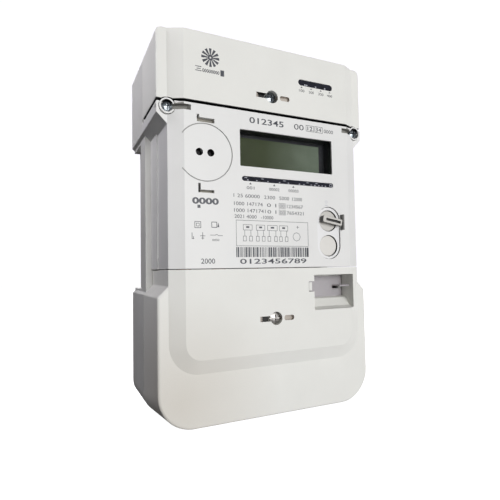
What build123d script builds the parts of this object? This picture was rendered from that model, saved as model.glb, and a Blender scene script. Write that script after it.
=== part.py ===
from build123d import *
import os

# Prepaid electricity meter for a wall, in millimetres.
# X runs to the right, Y runs back into the wall and Z runs up. The origin is the middle of the flat back,
# so the wall is the plane Y = 0 and the front face looks along -Y.

# ---- driving dimensions ----
HALF_WIDTH = 67.5
TOP_Z = 107.5
BOTTOM_Z = -107.5
RIM_Y = -37.0
MARGIN_Y = -75.2
FACE_Y = -79.0
WALL = 2.4
FLOOR = 2.5

# heights of the seams and shoulders between the three covers
TOP_SEAM_Z = 66.9
TOP_SEAM_GAP = 1.2
LOW_SEAM_Z = -22.6
LOW_SEAM_GAP = 0.4
EAR_Z = 60.6
SHOULDER_Z = -37.5
COVER_REST = 0.3

# the narrow waist, the wider flange of the base behind it, and the raised centre panel
WAIST_X = 61.7
SKIRT_X = 62.5
SKIRT_Y = -53.0
BASE_WAIST_X = 65.8
FLANGE_DEPTH = 14.0
SHOULDER_STEP = HALF_WIDTH - WAIST_X
BAND_OUT_X = WAIST_X
BAND_IN_X = 53.5
CORNER_R = 20.0
BASE_CORNER_R = 12.0
BAND_CORNER_Z = -62.0
BAND_OUT_R = 17.0
BAND_IN_R = 9.0

# sealing screws, all of one pattern
SCREW_R = 3.3
SCREW_DOME_R = 7.0
SHANK_R = 2.0
THREAD_HOLE_R = 2.08
MODULE_SCREW = (0.0, 77.7)
TERMINAL_SCREW = (0.0, -51.7)
EAR_SCREW_X = 61.8
EAR_SCREW_Z = 64.2
INSERT_R = 3.2
INSERT_LENGTH = 9.0
EAR_INSERT_Y = -35.8

# display, lamps, optical port and controls on the main cover
WINDOW = (-21.2, 41.5, 34.9, 56.0)
WINDOW_DEPTH = 9.0
STRIP = (-20.3, 42.0, 26.5, 29.3)
STRIP_LAMPS_X = (-15.1, 0.2, 13.1)
STATUS = (18.2, 43.0, 88.0, 91.8)
STATUS_LAMPS_X = (20.6, 27.4, 34.4, 41.0)
PORT_X = -41.9
PORT_Z = 40.4
PORT_R = 15.8
PORT_RING_R = 11.5
HOOK_SLOTS = (
    (-46.4, -36.3, 56.9, 59.4),
    (-46.4, -45.0, 59.3, 61.0),
    (-46.0, -36.9, 18.3, 19.9),
    (-46.0, -44.6, 19.8, 23.4),
)
DIODE_PITCH = 6.5
DIODE_R = 1.9
CONTROL_X = 38.0
KNOB_Z = 5.8
BUTTON_Z = -9.6
PILL_R = 8.45
PILL_FLOOR_Y = -78.2
CONTROL_R = 6.3
BUTTON_TRAVEL = 1.2
BUTTON_FRONT_Y = -77.5
KNOB_FRONT_Y = -77.6
KNOB_TILT = 10.0

# circuit boards
BOARD_T = 1.6
MAIN_BOARD_Y = -42.0
DISPLAY_BOARD_Y = -60.4
MODULE_BOARD_Y = -58.0

# mains terminals
TERMINALS_X = (-37.5, -12.5, 12.5, 37.5)
TERMINAL_Y = -24.0
TERMINAL_BORE_R = 4.5
CLAMP = (7.7, 10.0, -80.0, -54.0)
TERMINAL_SCREWS_Z = (-73.0, -61.0)
BLOCK_FRONT_Y = -45.0

# recess and sliding shutter over the service port
RECESS = (26.3, 56.1, -48.5, -27.3)
SHUTTER = (14.0, 55.6, -41.8, -28.4)
SHUTTER_Y = (-66.3, -65.1)
SHUTTER_PULL = (48.4, 55.6, -35.0, -34.1)
SHUTTER_NOTCH_Z = -36.6

# hanging plate on the back
HANGER_HOLE_R = 2.75
HANGER_HOLE_Z = 95.0
LOWER_HOLES_X = 52.5
LOWER_HOLES_Z = -96.0
LOWER_HOLE_R = 2.6

# places inside the case
BOARD_POSTS = ((-50, -12), (50, -12), (-50, 55), (50, 55))
BAY_Y = -49.4
EAR_WELL_Y = -73.6
EAR_COLLAR_Y = -76.4
EAR_COLLAR_R = 4.6
MODULE_PLUG = (-40, -14, 88, 96)
SWITCH_AT = (-51, -34)
SWITCH_Y = -36.0
SWITCH_PLUNGER_Y = -45.4
BUTTON_STEM_Y = -67.0
KNOB_STEM_Y = -65.0


def block(x0, x1, y0, y1, z0, z1):
    """Box between two corners."""
    return Pos((x0 + x1) / 2, (y0 + y1) / 2, (z0 + z1) / 2) * Box(abs(x1 - x0), abs(y1 - y0), abs(z1 - z0))


def rod(x, z, radius, y0, y1):
    """Round bar along Y."""
    return Pos(x, (y0 + y1) / 2, z) * Rot(90, 0, 0) * Cylinder(radius, abs(y1 - y0))


def upright(x, y, radius, z0, z1):
    """Round bar along Z."""
    return Pos(x, y, (z0 + z1) / 2) * Cylinder(radius, abs(z1 - z0))


def crossbar(y, z, radius, x0, x1):
    """Round bar along X."""
    return Pos((x0 + x1) / 2, y, z) * Rot(0, 90, 0) * Cylinder(radius, abs(x1 - x0))


def outline(points, radii):
    """Closed outline in X and Z with each corner rounded."""
    return make_face(FilletPolyline(*points, radius=radii, close=True).edges())


def symmetric(points, radii):
    """Outline whose right half, from top to bottom, is repeated on the left."""
    left = [(-x, z) for x, z in reversed(points)]
    return outline(points + left, radii + radii[::-1])


def rectangle(x0, x1, z0, z1, radius):
    """Rectangle in X and Z with rounded corners."""
    return outline([(x0, z0), (x1, z0), (x1, z1), (x0, z1)], [radius] * 4)


def slab(face, y_back, y_front):
    """Outline given a thickness along Y."""
    return extrude(Plane.XZ.offset(-y_back) * face, amount=y_back - y_front)


def panel(rect, grow, radius, y_back, y_front):
    """Slab of a (x0, x1, z0, z1) rectangle made larger all round."""
    x0, x1, z0, z1 = rect
    return slab(rectangle(x0 - grow, x1 + grow, z0 - grow, z1 + grow, radius), y_back, y_front)


def along_x(points, x0, x1):
    """Solid from (y, z) points, extruded along X."""
    face = make_face(Polyline(*[(y, z) for y, z in points], close=True).edges())
    return extrude(Plane.YZ.offset(x0) * face, amount=x1 - x0)


def along_z(points, z0, z1):
    """Solid from (x, y) points, extruded along Z."""
    face = make_face(Polyline(*points, close=True).edges())
    return extrude(Plane.XY.offset(z0) * face, amount=z1 - z0)


def soften(solid, radius, picks):
    """Rounds the edges that a test picks out."""
    return fillet([edge for edge in solid.edges() if picks(edge)], radius)


def at_y(y):
    """Test for edges that lie wholly in the plane at y."""

    def lies_there(edge):
        box = edge.bounding_box()
        return abs(box.min.Y - y) < 0.01 and abs(box.max.Y - y) < 0.01

    return lies_there


def front_profile(sink, z0, z1):
    """Body with the front surface of the covers: flat margin, sloping band, raised centre panel."""
    edge = HALF_WIDTH + 5
    margin = MARGIN_Y + sink
    face = FACE_Y + sink
    right = [(BAND_IN_X, face), (BAND_OUT_X, margin), (edge, margin), (edge, 5)]
    left = [(-x, y) for x, y in reversed(right)]
    return along_z(right + left, z0, z1)


def seal_screw(x, z, head_y, tip_y, head_r=SCREW_R):
    """Sealing screw: domed head with a slot, a cross and a hole for the seal wire, plain shank."""
    head = rod(x, z, head_r, head_y + 3, head_y)
    head &= Pos(x, head_y + SCREW_DOME_R, z) * Sphere(SCREW_DOME_R)
    screw = head + rod(x, z, SHANK_R, tip_y, head_y + 3)
    screw -= block(x - head_r - 1, x + head_r + 1, head_y - 1, head_y + 1.3, z - 0.45, z + 0.45)
    screw -= block(x - 0.45, x + 0.45, head_y - 1, head_y + 1.3, z - 1.9, z + 1.9)
    return screw - crossbar(head_y + 2.1, z, 0.6, x - head_r - 1, x + head_r + 1)


def seal_pocket_solid(x, z, depth_y):
    """Lump behind the front face that carries a sealing screw's collar and grooves."""
    lump = block(x - 13.5, x + 13.5, FACE_Y + 1, FACE_Y + 6.5, z - 5.6, z + 5.6)
    return lump + rod(x, z, 5.6, depth_y, FACE_Y + 6)


def seal_pocket_cut(x, z, depth_y):
    """Well, wire grooves and clearance hole of a sealing screw in a raised front face."""
    cut = rod(x, z, SCREW_R + 0.5, FACE_Y + 4.6, FACE_Y - 1)
    cut += rod(x, z, SHANK_R + 0.2, depth_y + 1, FACE_Y)
    # ramp on the left that runs into the well, and a slot on the right that stops short of it
    ramp = [(x - 10.4, FACE_Y), (x - 7.6, FACE_Y + 3.0), (x - 3.0, FACE_Y + 3.4), (x - 3.0, FACE_Y - 1)]
    cut += along_z(ramp + [(x - 10.4, FACE_Y - 1)], z - 1.5, z + 1.5)
    cut += panel((x + 5.2, x + 11.7, z - 1.45, z + 1.45), 0, 1.2, FACE_Y + 2.2, FACE_Y - 1)
    return cut + crossbar(FACE_Y + 2.1, z, 0.8, x - 6, x + 6)


def ring(face_outer, face_inner, y_back, y_front):
    """Frame between two outlines."""
    return slab(face_outer, y_back, y_front) - slab(face_inner, y_back + 1, y_front - 1)


def base_outline(inset):
    """Outline of the base: wide head, waist flange, wide foot with large round corners."""
    side = HALF_WIDTH - inset
    waist = BASE_WAIST_X - inset
    step = HALF_WIDTH - BASE_WAIST_X
    points = [
        (side, TOP_Z - inset),
        (side, EAR_Z + inset * 0.414),
        (waist, EAR_Z - step + inset * 0.414),
        (waist, SHOULDER_Z + step - inset * 0.414),
        (side, SHOULDER_Z - inset * 0.414),
        (side, BOTTOM_Z + inset),
    ]
    return symmetric(points, [max(3.0 - inset, 0.5), 0.4, 0.4, 0.4, 0.4, BASE_CORNER_R - inset])


def main_outline(inset, waist):
    """Outline of the main cover: waist with two ears at the top."""
    side = HALF_WIDTH - inset
    points = [
        (side, TOP_SEAM_Z - inset),
        (side, EAR_Z + inset * 0.414),
        (waist - inset, EAR_Z - (HALF_WIDTH - waist) + inset * 0.414),
        (waist - inset, LOW_SEAM_Z + inset),
    ]
    return symmetric(points, [1.0, 1.0, 1.0, 0.4])


def module_outline(inset):
    """Outline of the top cover."""
    side = HALF_WIDTH - inset
    points = [(side, TOP_Z - inset), (side, TOP_SEAM_Z + TOP_SEAM_GAP + inset)]
    return symmetric(points, [max(3.0 - inset, 0.5), 1.0])


def terminal_outline(inset, corner=CORNER_R):
    """Outline of the terminal cover: short waist, sloping shoulders, wide foot."""
    side = HALF_WIDTH - inset
    waist = WAIST_X - inset
    points = [
        (waist, LOW_SEAM_Z - LOW_SEAM_GAP - inset),
        (waist, SHOULDER_Z + SHOULDER_STEP - inset * 0.414),
        (side, SHOULDER_Z - inset * 0.414),
        (side, BOTTOM_Z + inset),
    ]
    return symmetric(points, [0.4, 1.5, 1.5, corner - inset])


def terminal_body(inset, y_back, y_front):
    """Body of the terminal cover, whose lower corners are rounder in front than at the rim."""
    rim = Plane.XZ.offset(-y_back) * terminal_outline(inset, BASE_CORNER_R)
    return loft([rim, Plane.XZ.offset(-y_front) * terminal_outline(inset)], ruled=True)


# ---- rear base and what hangs the meter ----
def make_rear_base():
    base = slab(base_outline(0), 0, RIM_Y)
    base = soften(base, 0.8, at_y(0))
    hollow = slab(base_outline(WALL), -FLOOR, RIM_Y - 1)
    waist_wall = WAIST_X + 0.3
    for side in (-1, 1):
        # the waist is narrower behind its flange, and solid from there out to the flange
        flange_y = RIM_Y + FLANGE_DEPTH
        base -= block(side * waist_wall, side * (HALF_WIDTH + 1), 1, flange_y, SHOULDER_Z + 3, EAR_Z - 3)
        inner_wall = side * (waist_wall - WALL)
        hollow -= block(inner_wall, side * HALF_WIDTH, 1, RIM_Y - 2, SHOULDER_Z, EAR_Z + WALL)
    base -= hollow
    # land for the gasket, and the wall between the electronics and the terminals
    land = slab(rectangle(-65.5, 65.5, LOW_SEAM_Z, 105.5, 1), RIM_Y + WALL, RIM_Y)
    land &= slab(base_outline(1), 0, RIM_Y)
    base += land - slab(rectangle(-57.8, 57.8, LOW_SEAM_Z + WALL, 102.0, 2), 0, RIM_Y - 1)
    base += block(-60, 60, -1, RIM_Y, LOW_SEAM_Z, LOW_SEAM_Z + WALL)
    for x in TERMINALS_X:
        base -= block(x - 5.4, x + 5.4, -18, -22, LOW_SEAM_Z - 1, LOW_SEAM_Z + WALL + 1)
    # posts for the main board, the cover screws and the cover switch
    for x, z in BOARD_POSTS:
        base += rod(x, z, 3.6, -1, MAIN_BOARD_Y)
        base -= rod(x, z, 1.45, -30, MAIN_BOARD_Y - 1)
    for side in (-1, 1):
        base += rod(side * EAR_SCREW_X, EAR_SCREW_Z, 4.8, -1, RIM_Y)
        base -= rod(side * EAR_SCREW_X, EAR_SCREW_Z, SHANK_R + 0.2, -22, RIM_Y - 1)
        base -= rod(side * EAR_SCREW_X, EAR_SCREW_Z, INSERT_R, EAR_INSERT_Y + INSERT_LENGTH, EAR_INSERT_Y)
    base += block(-56, -46, -1, SWITCH_Y, -40, -28)
    # hanging plate channel in a pad, with room for the head of the wall screw
    base += block(-17, 17, -1, -8, 58, 106)
    base -= block(-12.2, 12.2, -0.5, -2.2, 62, 109)
    base -= block(-10.2, 10.2, 1, -0.6, 62, 109)
    base -= block(-6, 6, -2, -6, HANGER_HOLE_Z - 9, HANGER_HOLE_Z + 6)
    # two screw holes in the foot and the opening for the cables
    for side in (-1, 1):
        base -= rod(side * LOWER_HOLES_X, LOWER_HOLES_Z, LOWER_HOLE_R, 1, -FLOOR - 1)
    base -= block(-48, 48, -13, -33, BOTTOM_Z - 1, BOTTOM_Z + WALL + 1)
    return base - make_cover_gasket()


def make_cover_gasket():
    outer = rectangle(-59.1, 59.1, LOW_SEAM_Z + 0.7, 103.9, 3)
    inner = rectangle(-58.1, 58.1, LOW_SEAM_Z + 1.7, 102.9, 2)
    return ring(outer, inner, RIM_Y + 1, RIM_Y)


def make_hanger_plate():
    plate = panel((-12, 12, 64, 102), 0, 2.5, -0.65, -2.15)
    return plate - rod(0, HANGER_HOLE_Z, HANGER_HOLE_R, 1, -4)


# ---- covers ----
def make_main_cover():
    shell = slab(main_outline(0, WAIST_X), SKIRT_Y + 1, FACE_Y)
    shell &= front_profile(0, LOW_SEAM_Z - 1, TOP_SEAM_Z + 1)
    shell = soften(shell, 0.3, front_rim([BAND_IN_X]))
    shell += slab(main_outline(0, SKIRT_X), RIM_Y, SKIRT_Y)
    hollow = slab(main_outline(WALL, WAIST_X), RIM_Y + 1, FACE_Y)
    hollow &= front_profile(WALL, LOW_SEAM_Z - 1, TOP_SEAM_Z + 1)
    cover = shell - hollow
    # bay behind the top cover, closing the electronics under the plug-in module
    bay_z = TOP_SEAM_Z - WALL
    cover += panel((-64.6, 64.6, bay_z, 104.6), 0, 1.5, RIM_Y, BAY_Y)
    cover -= panel((-62.2, 62.2, bay_z - 8, 102.2), 0, 1.0, RIM_Y + 1, BAY_Y + WALL)
    cover += block(-60, 60, BAY_Y, -74, bay_z, TOP_SEAM_Z)
    # flange that presses on the gasket
    flange = slab(rectangle(-61, 61, LOW_SEAM_Z + 1, 104, 1), RIM_Y, RIM_Y - 2)
    cover += flange - slab(rectangle(-57.8, 57.8, LOW_SEAM_Z + WALL, 102.0, 2), RIM_Y + 1, RIM_Y - 3)
    # boss for the top cover's screw and slot for the module's plug
    cover += rod(*MODULE_SCREW, 5.2, BAY_Y + WALL, -58)
    cover -= rod(*MODULE_SCREW, INSERT_R, -57.8 + INSERT_LENGTH, -58.5)
    cover -= rod(*MODULE_SCREW, SHANK_R + 0.2, BAY_Y + WALL - 3, -58)
    cover -= panel(MODULE_PLUG, 0.6, 0.5, RIM_Y, BAY_Y - 1)
    # ears: collar, well, wire groove and wire notch of each cover screw
    for side in (-1, 1):
        x = side * EAR_SCREW_X
        cover += rod(x, EAR_SCREW_Z, EAR_COLLAR_R, RIM_Y - 0.01, -73)
        cover -= rod(x, EAR_SCREW_Z, EAR_COLLAR_R, EAR_WELL_Y, FACE_Y - 1)
        cover += rod(x, EAR_SCREW_Z, 4.2, EAR_WELL_Y + 1, EAR_COLLAR_Y)
        cover -= rod(x, EAR_SCREW_Z, 3.4, EAR_WELL_Y + 0.8, FACE_Y - 1)
        cover -= rod(x, EAR_SCREW_Z, SHANK_R + 0.2, RIM_Y + 1, FACE_Y)
        z = EAR_SCREW_Z
        groove = [(side * 49.6, FACE_Y), (side * 51.2, FACE_Y + 2.2), (side * 59.2, EAR_WELL_Y)]
        groove.append((side * 59.2, FACE_Y - 1))
        cover += block(side * 49, side * 58, FACE_Y + 2, EAR_WELL_Y + 2, z - 3, z + 3)
        cover -= along_z(groove + [(side * 49.6, FACE_Y - 1)], z - 1.7, z + 1.3)
        cover -= block(side * 65, side * 69, EAR_WELL_Y + 1.6, EAR_WELL_Y - 1.2, z - 1, z + 1)
    # window and rebate for the pane, lamp strip, optical port
    cover -= panel(WINDOW, 0, 0.6, FACE_Y + 4, FACE_Y - 1)
    cover -= panel(WINDOW, 2.0, 1.0, FACE_Y + WALL + 0.5, FACE_Y + 1.2)
    cover -= panel(STRIP, 0, 1.39, FACE_Y + 4, FACE_Y - 1)
    circle = rod(PORT_X, PORT_Z, PORT_R + 0.3, FACE_Y + 0.5, FACE_Y - 1)
    cover -= circle - rod(PORT_X, PORT_Z, PORT_R - 0.3, FACE_Y + 2, FACE_Y - 2)
    cover += rod(PORT_X, PORT_Z, PORT_RING_R + 1.2, FACE_Y + 5, FACE_Y + 1)
    cover -= rod(PORT_X, PORT_Z, PORT_RING_R + 0.1, FACE_Y + 6, FACE_Y + WALL)
    for x in (PORT_X - DIODE_PITCH / 2, PORT_X + DIODE_PITCH / 2):
        cover -= rod(x, PORT_Z, DIODE_R + 0.15, FACE_Y + 4, FACE_Y - 1)
    # L-shaped slots that hook a reading head's cover
    for x0, x1, z0, z1 in HOOK_SLOTS:
        cover -= block(x0, x1, FACE_Y + 4, FACE_Y - 1, z0, z1)
    # opening for the controls
    return cover - pill(PILL_R, FACE_Y + 4, FACE_Y - 1)


def front_rim(skipped_x):
    """Test for the edges round a cover's front, apart from its long band lines at the given X."""

    def picks(edge):
        box = edge.bounding_box()
        upright_line = box.max.X - box.min.X < 0.01
        skipped = upright_line and any(abs(abs(box.min.X) - x) < 0.01 for x in skipped_x)
        return box.max.Y < MARGIN_Y + 0.01 and not skipped

    return picks


def pill(radius, y_back, y_front):
    """Long round-ended shape about the two controls."""
    rect = (CONTROL_X, CONTROL_X, BUTTON_Z + 0.1, KNOB_Z + 0.2)
    return panel(rect, radius, radius - 0.01, y_back, y_front)


def make_module_cover():
    low = TOP_SEAM_Z + TOP_SEAM_GAP
    shell = slab(module_outline(0), RIM_Y - COVER_REST, FACE_Y)
    shell &= front_profile(0, low - 1, TOP_Z + 1)
    shell = soften(shell, 0.8, front_rim([BAND_IN_X, BAND_OUT_X]))
    hollow = slab(module_outline(WALL), RIM_Y + 1, FACE_Y)
    hollow &= front_profile(WALL, low - 1, TOP_Z + 1)
    cover = shell - hollow
    cover += seal_pocket_solid(*MODULE_SCREW, -58.3)
    cover -= seal_pocket_cut(*MODULE_SCREW, -58.3)
    cover -= panel(STATUS, 0, 1.89, FACE_Y + 4, FACE_Y - 1)
    # bottom wall stays clear of the main cover's ears and bay
    for side in (-1, 1):
        cover -= rod(side * EAR_SCREW_X, EAR_SCREW_Z, EAR_COLLAR_R + 0.5, RIM_Y + 1, FACE_Y - 1)
    return cover - block(-65.2, 65.2, RIM_Y + 1, BAY_Y - 0.4, low - 1, low + WALL + 1)


def band(sink):
    """Raised centre panel of the terminal cover, with its sloping band turning round at the bottom."""
    top = LOW_SEAM_Z - LOW_SEAM_GAP
    outer = symmetric([(BAND_OUT_X, top), (BAND_OUT_X, BAND_CORNER_Z - BAND_OUT_R)], [0, BAND_OUT_R])
    inner = symmetric([(BAND_IN_X, top), (BAND_IN_X, BAND_CORNER_Z - BAND_IN_R)], [0, BAND_IN_R])
    faces = [Plane.XZ.offset(-MARGIN_Y - sink) * outer, Plane.XZ.offset(-FACE_Y - sink) * inner]
    return loft(faces, ruled=True)


def make_terminal_cover():
    shell = terminal_body(0, RIM_Y - COVER_REST, MARGIN_Y)
    shell = soften(shell, 1.4, is_outer_rim)
    raised = band(0) & slab(terminal_outline(0), 0, FACE_Y - 1)
    hollow = terminal_body(WALL, RIM_Y + 1, MARGIN_Y + WALL)
    hollow += band(WALL) & slab(terminal_outline(WALL), 0, FACE_Y - 1)
    cover = shell + raised - hollow
    cover += seal_pocket_solid(*TERMINAL_SCREW, -45.6)
    # walls of the port recess, and the two-sided channel that the shutter slides in
    x0, x1, z0, z1 = RECESS
    back = SHUTTER_Y[1] + 1.8
    cover += block(x0 - 2, x1 + 1.8, FACE_Y + 1, back, z0 - 2, z1 + 1.8)
    cover += block(-4, x0, FACE_Y + 1, back, SHUTTER[2] - 1.8, z1 + 1.8)
    floor_z = SHUTTER[2] + 0.3
    plate_y = SHUTTER_Y[0] - 0.2
    ramp = [(FACE_Y - 1, z0 - 0.3), (FACE_Y + 5, z0 + 1.6), (FACE_Y + 9, floor_z - 0.8), (plate_y, floor_z)]
    cover -= along_x([(FACE_Y - 1, z1)] + ramp + [(plate_y, z1)], x0, x1)
    cover -= block(-3, x1 + 0.2, SHUTTER_Y[0] - 0.25, SHUTTER_Y[1] + 0.25, SHUTTER[2] - 0.3, SHUTTER[3] + 0.3)
    cover -= block(x0 + 4, x1 - 2, SHUTTER_Y[1], back + 1, SHUTTER[2] + 1.5, SHUTTER[3] - 1.5)
    cover -= block(-2, x0 - 1.8, FACE_Y + WALL, back + 1, SHUTTER[2] + 1.5, SHUTTER[3] - 1.5)
    cover -= block(x0 - 3.9, x0 + 0.5, FACE_Y - 1, SHUTTER_Y[0], -37.3, -31.1)
    cover -= seal_pocket_cut(*TERMINAL_SCREW, -45.6)
    # finger that holds the cover switch down
    return cover + rod(*SWITCH_AT, 2.0, SWITCH_PLUNGER_Y - 0.3, FACE_Y + 2)


def is_outer_rim(edge):
    """Test for the front edges of the terminal cover, apart from its top end."""
    box = edge.bounding_box()
    return box.max.Y < MARGIN_Y + 0.01 and box.min.Z < LOW_SEAM_Z - 2


# ---- display and lamps ----
def make_display_window():
    return panel(WINDOW, 1.9, 0.9, FACE_Y + WALL - 0.05, FACE_Y + 1.2)


def make_display_shroud():
    shroud = panel(WINDOW, 3.6, 1.0, DISPLAY_BOARD_Y - BOARD_T, FACE_Y + WALL)
    shroud -= panel(WINDOW, 0.2, 0.5, 0, FACE_Y)
    return shroud - panel(WINDOW, 1.65, 0.5, 0, FACE_Y + WINDOW_DEPTH - 0.05)


def make_lcd_glass():
    front = FACE_Y + WINDOW_DEPTH
    return panel(WINDOW, 1.55, 0.3, front + 2.2, front)


def make_lcd_backlight():
    front = FACE_Y + WINDOW_DEPTH + 2.2
    return panel(WINDOW, 1.55, 0.3, front + 3.6, front)


def make_lcd_pins():
    back = DISPLAY_BOARD_Y - BOARD_T
    front = FACE_Y + WINDOW_DEPTH + 5.8
    return [block(x - 0.3, x + 0.3, back, front, 36.0, 36.6) for x in range(-16, 38, 4)]


def lens(rect, radius):
    """Tinted strip that fills a slot in the front, with a flange behind the wall."""
    body = panel(rect, -0.1, radius - 0.11, FACE_Y + WALL, FACE_Y + 0.3)
    return body + panel(rect, 1.3, 0.8, FACE_Y + WALL + 1.2, FACE_Y + WALL)


def lamps(xs, z, radius, y_back):
    """Row of small lamps on a board, behind a lens."""
    row = []
    for x in xs:
        lamp = rod(x, z, radius, y_back, FACE_Y + WALL + 1.8)
        row.append(soften(lamp, radius * 0.7, at_y(FACE_Y + WALL + 1.8)))
    return row


def make_port_ring():
    washer = rod(PORT_X, PORT_Z, PORT_RING_R, FACE_Y + 4.4, FACE_Y + WALL)
    return washer - rod(PORT_X, PORT_Z, 7.0, FACE_Y + 6, FACE_Y)


def make_port_diodes():
    back = DISPLAY_BOARD_Y - BOARD_T
    tips = []
    for x in (PORT_X - DIODE_PITCH / 2, PORT_X + DIODE_PITCH / 2):
        diode = rod(x, PORT_Z, DIODE_R, back, FACE_Y + WALL)
        tips.append(soften(diode, 1.0, at_y(FACE_Y + WALL)))
    return tips


# ---- controls ----
def make_control_bezel():
    bezel = pill(PILL_R - 0.35, FACE_Y + WALL, PILL_FLOOR_Y) + pill(PILL_R + 1.4, FACE_Y + 3.6, FACE_Y + WALL)
    for z in (KNOB_Z, BUTTON_Z):
        bezel -= rod(CONTROL_X, z, CONTROL_R + 0.3, FACE_Y + 5, FACE_Y - 1)
    return bezel


def control_disc(z, front_y):
    """Round cap with a flange that keeps it behind the bezel."""
    disc = rod(CONTROL_X, z, CONTROL_R, FACE_Y + 3.9, front_y)
    disc = soften(disc, 0.5, at_y(front_y))
    return disc + rod(CONTROL_X, z, 7.2, FACE_Y + 4.9, FACE_Y + 3.9)


def make_scroll_button():
    return control_disc(BUTTON_Z, BUTTON_FRONT_Y) + rod(CONTROL_X, BUTTON_Z, 2.0, BUTTON_STEM_Y, FACE_Y + 4.9)


def make_scroll_spring():
    """Compression spring round the button's stem, from the board to the button's flange."""
    low = DISPLAY_BOARD_Y - BOARD_T - 0.35
    high = FACE_Y + 4.9 + 0.35
    length = low - high
    path = Helix(pitch=length / 4, height=length, radius=5.2)
    section = Plane(origin=path @ 0, z_dir=path % 0) * Circle(0.3)
    coil = sweep(section, path=path, is_frenet=True)
    return Pos(CONTROL_X, low, BUTTON_Z) * Rot(90, 0, 0) * coil


def make_scroll_switch():
    back = DISPLAY_BOARD_Y - BOARD_T
    body = block(CONTROL_X - 3, CONTROL_X + 3, back, back - 2.4, BUTTON_Z - 3, BUTTON_Z + 3)
    return body + rod(CONTROL_X, BUTTON_Z, 1.6, back - 2, BUTTON_STEM_Y + BUTTON_TRAVEL + 0.2)


def make_seal_knob():
    knob = control_disc(KNOB_Z, KNOB_FRONT_Y)
    grip = slab(rectangle(-6.0, 8.1, -2.05, 2.05, 0.8), FACE_Y, FACE_Y - 3.0)
    grip = soften(grip, 0.4, at_y(FACE_Y - 3.0))
    grip += slab(rectangle(-5.8, 5.8, -1.4, 1.4, 0.6), KNOB_FRONT_Y + 0.6, FACE_Y)
    grip -= block(-3.9, 6.9, FACE_Y - 4, FACE_Y - 1.2, -0.8, 0.8)
    knob += Pos(CONTROL_X, 0, KNOB_Z) * Rot(0, KNOB_TILT, 0) * grip
    return knob + rod(CONTROL_X, KNOB_Z, 2.5, KNOB_STEM_Y, FACE_Y + 4.9)


def make_knob_switch():
    back = DISPLAY_BOARD_Y - BOARD_T
    body = block(CONTROL_X - 4.5, CONTROL_X + 4.5, back, back - 4.4, KNOB_Z - 4.5, KNOB_Z + 4.5)
    return body - rod(CONTROL_X, KNOB_Z, 2.56, back - 1.4, back - 6)


def make_seal_lug():
    lug = panel((CONTROL_X + 8.7, CONTROL_X + 9.9, KNOB_Z - 5.6, KNOB_Z + 4.0), 0, 0.3, FACE_Y, FACE_Y - 2.6)
    return lug - crossbar(FACE_Y - 1.4, KNOB_Z - 0.8, 0.7, CONTROL_X + 8, CONTROL_X + 11)


# ---- boards and electronics ----
def make_main_board():
    board = block(-56, 56, MAIN_BOARD_Y, MAIN_BOARD_Y - BOARD_T, -18, 61)
    board += block(-46, -8, MAIN_BOARD_Y, MAIN_BOARD_Y - BOARD_T, 60, 100)
    for x, z in BOARD_POSTS:
        board -= rod(x, z, 1.6, MAIN_BOARD_Y + 1, MAIN_BOARD_Y - 3)
    return board


def make_board_screws():
    front = MAIN_BOARD_Y - BOARD_T
    return [rod(x, z, 2.8, front, front - 1.8) + rod(x, z, 1.4, -32, front) for x, z in BOARD_POSTS]


def make_board_pillars():
    back = MAIN_BOARD_Y - BOARD_T
    half = (back - DISPLAY_BOARD_Y) / 2
    pillar = Pos(0, back - half, 0) * Rot(90, 0, 0) * extrude(RegularPolygon(2.8, 6), half, both=True)
    return [Pos(x, 0, z) * pillar for x in (-40, 40) for z in (-14, 58)]


def make_display_board():
    back = DISPLAY_BOARD_Y
    return panel((-52, 52, -19, 64), 0, 2, back, back - BOARD_T)


def make_control_chips():
    front = MAIN_BOARD_Y - BOARD_T
    sizes = ((0, 28, 7), (22, 20, 5), (-26, 34, 4))
    return [block(x - half, x + half, front, front - 1.5, z - half, z + half) for x, z, half in sizes]


def make_capacitors():
    cans = []
    for x in (-40, -27, -14):
        can = rod(x, 49, 5.2, MAIN_BOARD_Y, MAIN_BOARD_Y + 17)
        cans.append(soften(can, 0.6, at_y(MAIN_BOARD_Y + 17)))
    return cans


def make_varistor():
    disc = crossbar(MAIN_BOARD_Y + 11, 14, 7, 45, 49.5)
    disc = soften(disc, 1.2, lambda edge: edge.geom_type == GeomType.CIRCLE)
    for x, z in ((46, 10), (48, 17)):
        disc += block(x, x + 0.8, MAIN_BOARD_Y, MAIN_BOARD_Y + 6, z, z + 0.8)
    return disc


def make_power_transformer():
    core = block(8, 40, MAIN_BOARD_Y + 4, MAIN_BOARD_Y + 24, 22, 50)
    bobbin = block(14, 34, MAIN_BOARD_Y + 0.5, MAIN_BOARD_Y + 27, 27, 45)
    places = [(x, z) for x in (16, 24, 31) for z in (28, 43)]
    pins = [block(x, x + 0.8, MAIN_BOARD_Y, MAIN_BOARD_Y + 1, z, z + 0.8) for x, z in places]
    return core + bobbin + pins


def make_backup_battery():
    cell = crossbar(-51.6, 10, 7.1, -50, -25)
    cell = soften(cell, 0.8, lambda edge: edge.geom_type == GeomType.CIRCLE)
    return cell + crossbar(-51.6, 10, 2.4, -25.5, -24)


def make_battery_clip():
    front = MAIN_BOARD_Y - BOARD_T
    clip = block(-53, -50.05, front, -56, 4, 16) + block(-23.95, -21, front, -56, 4, 16)
    return clip + block(-53, -21, front, front - 0.7, 4, 16)


def make_disconnect_relay():
    case = block(-46, -10, -16, -38, 4, 36)
    case = soften(case, 1.0, lambda edge: edge.geom_type == GeomType.LINE)
    return case + block(-30, -26, -37, MAIN_BOARD_Y, 30, 34) + block(-18, -14, -37, MAIN_BOARD_Y, 30, 34)


def bar(x, z_top):
    """Copper strip up from a terminal clamp."""
    return block(x - 5, x + 5, -19, -21, CLAMP[3], z_top)


def make_neutral_bar():
    return bar(TERMINALS_X[2], 2) + bar(TERMINALS_X[3], 2) + block(8, 42, -19, -21, -8, 2)


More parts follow.
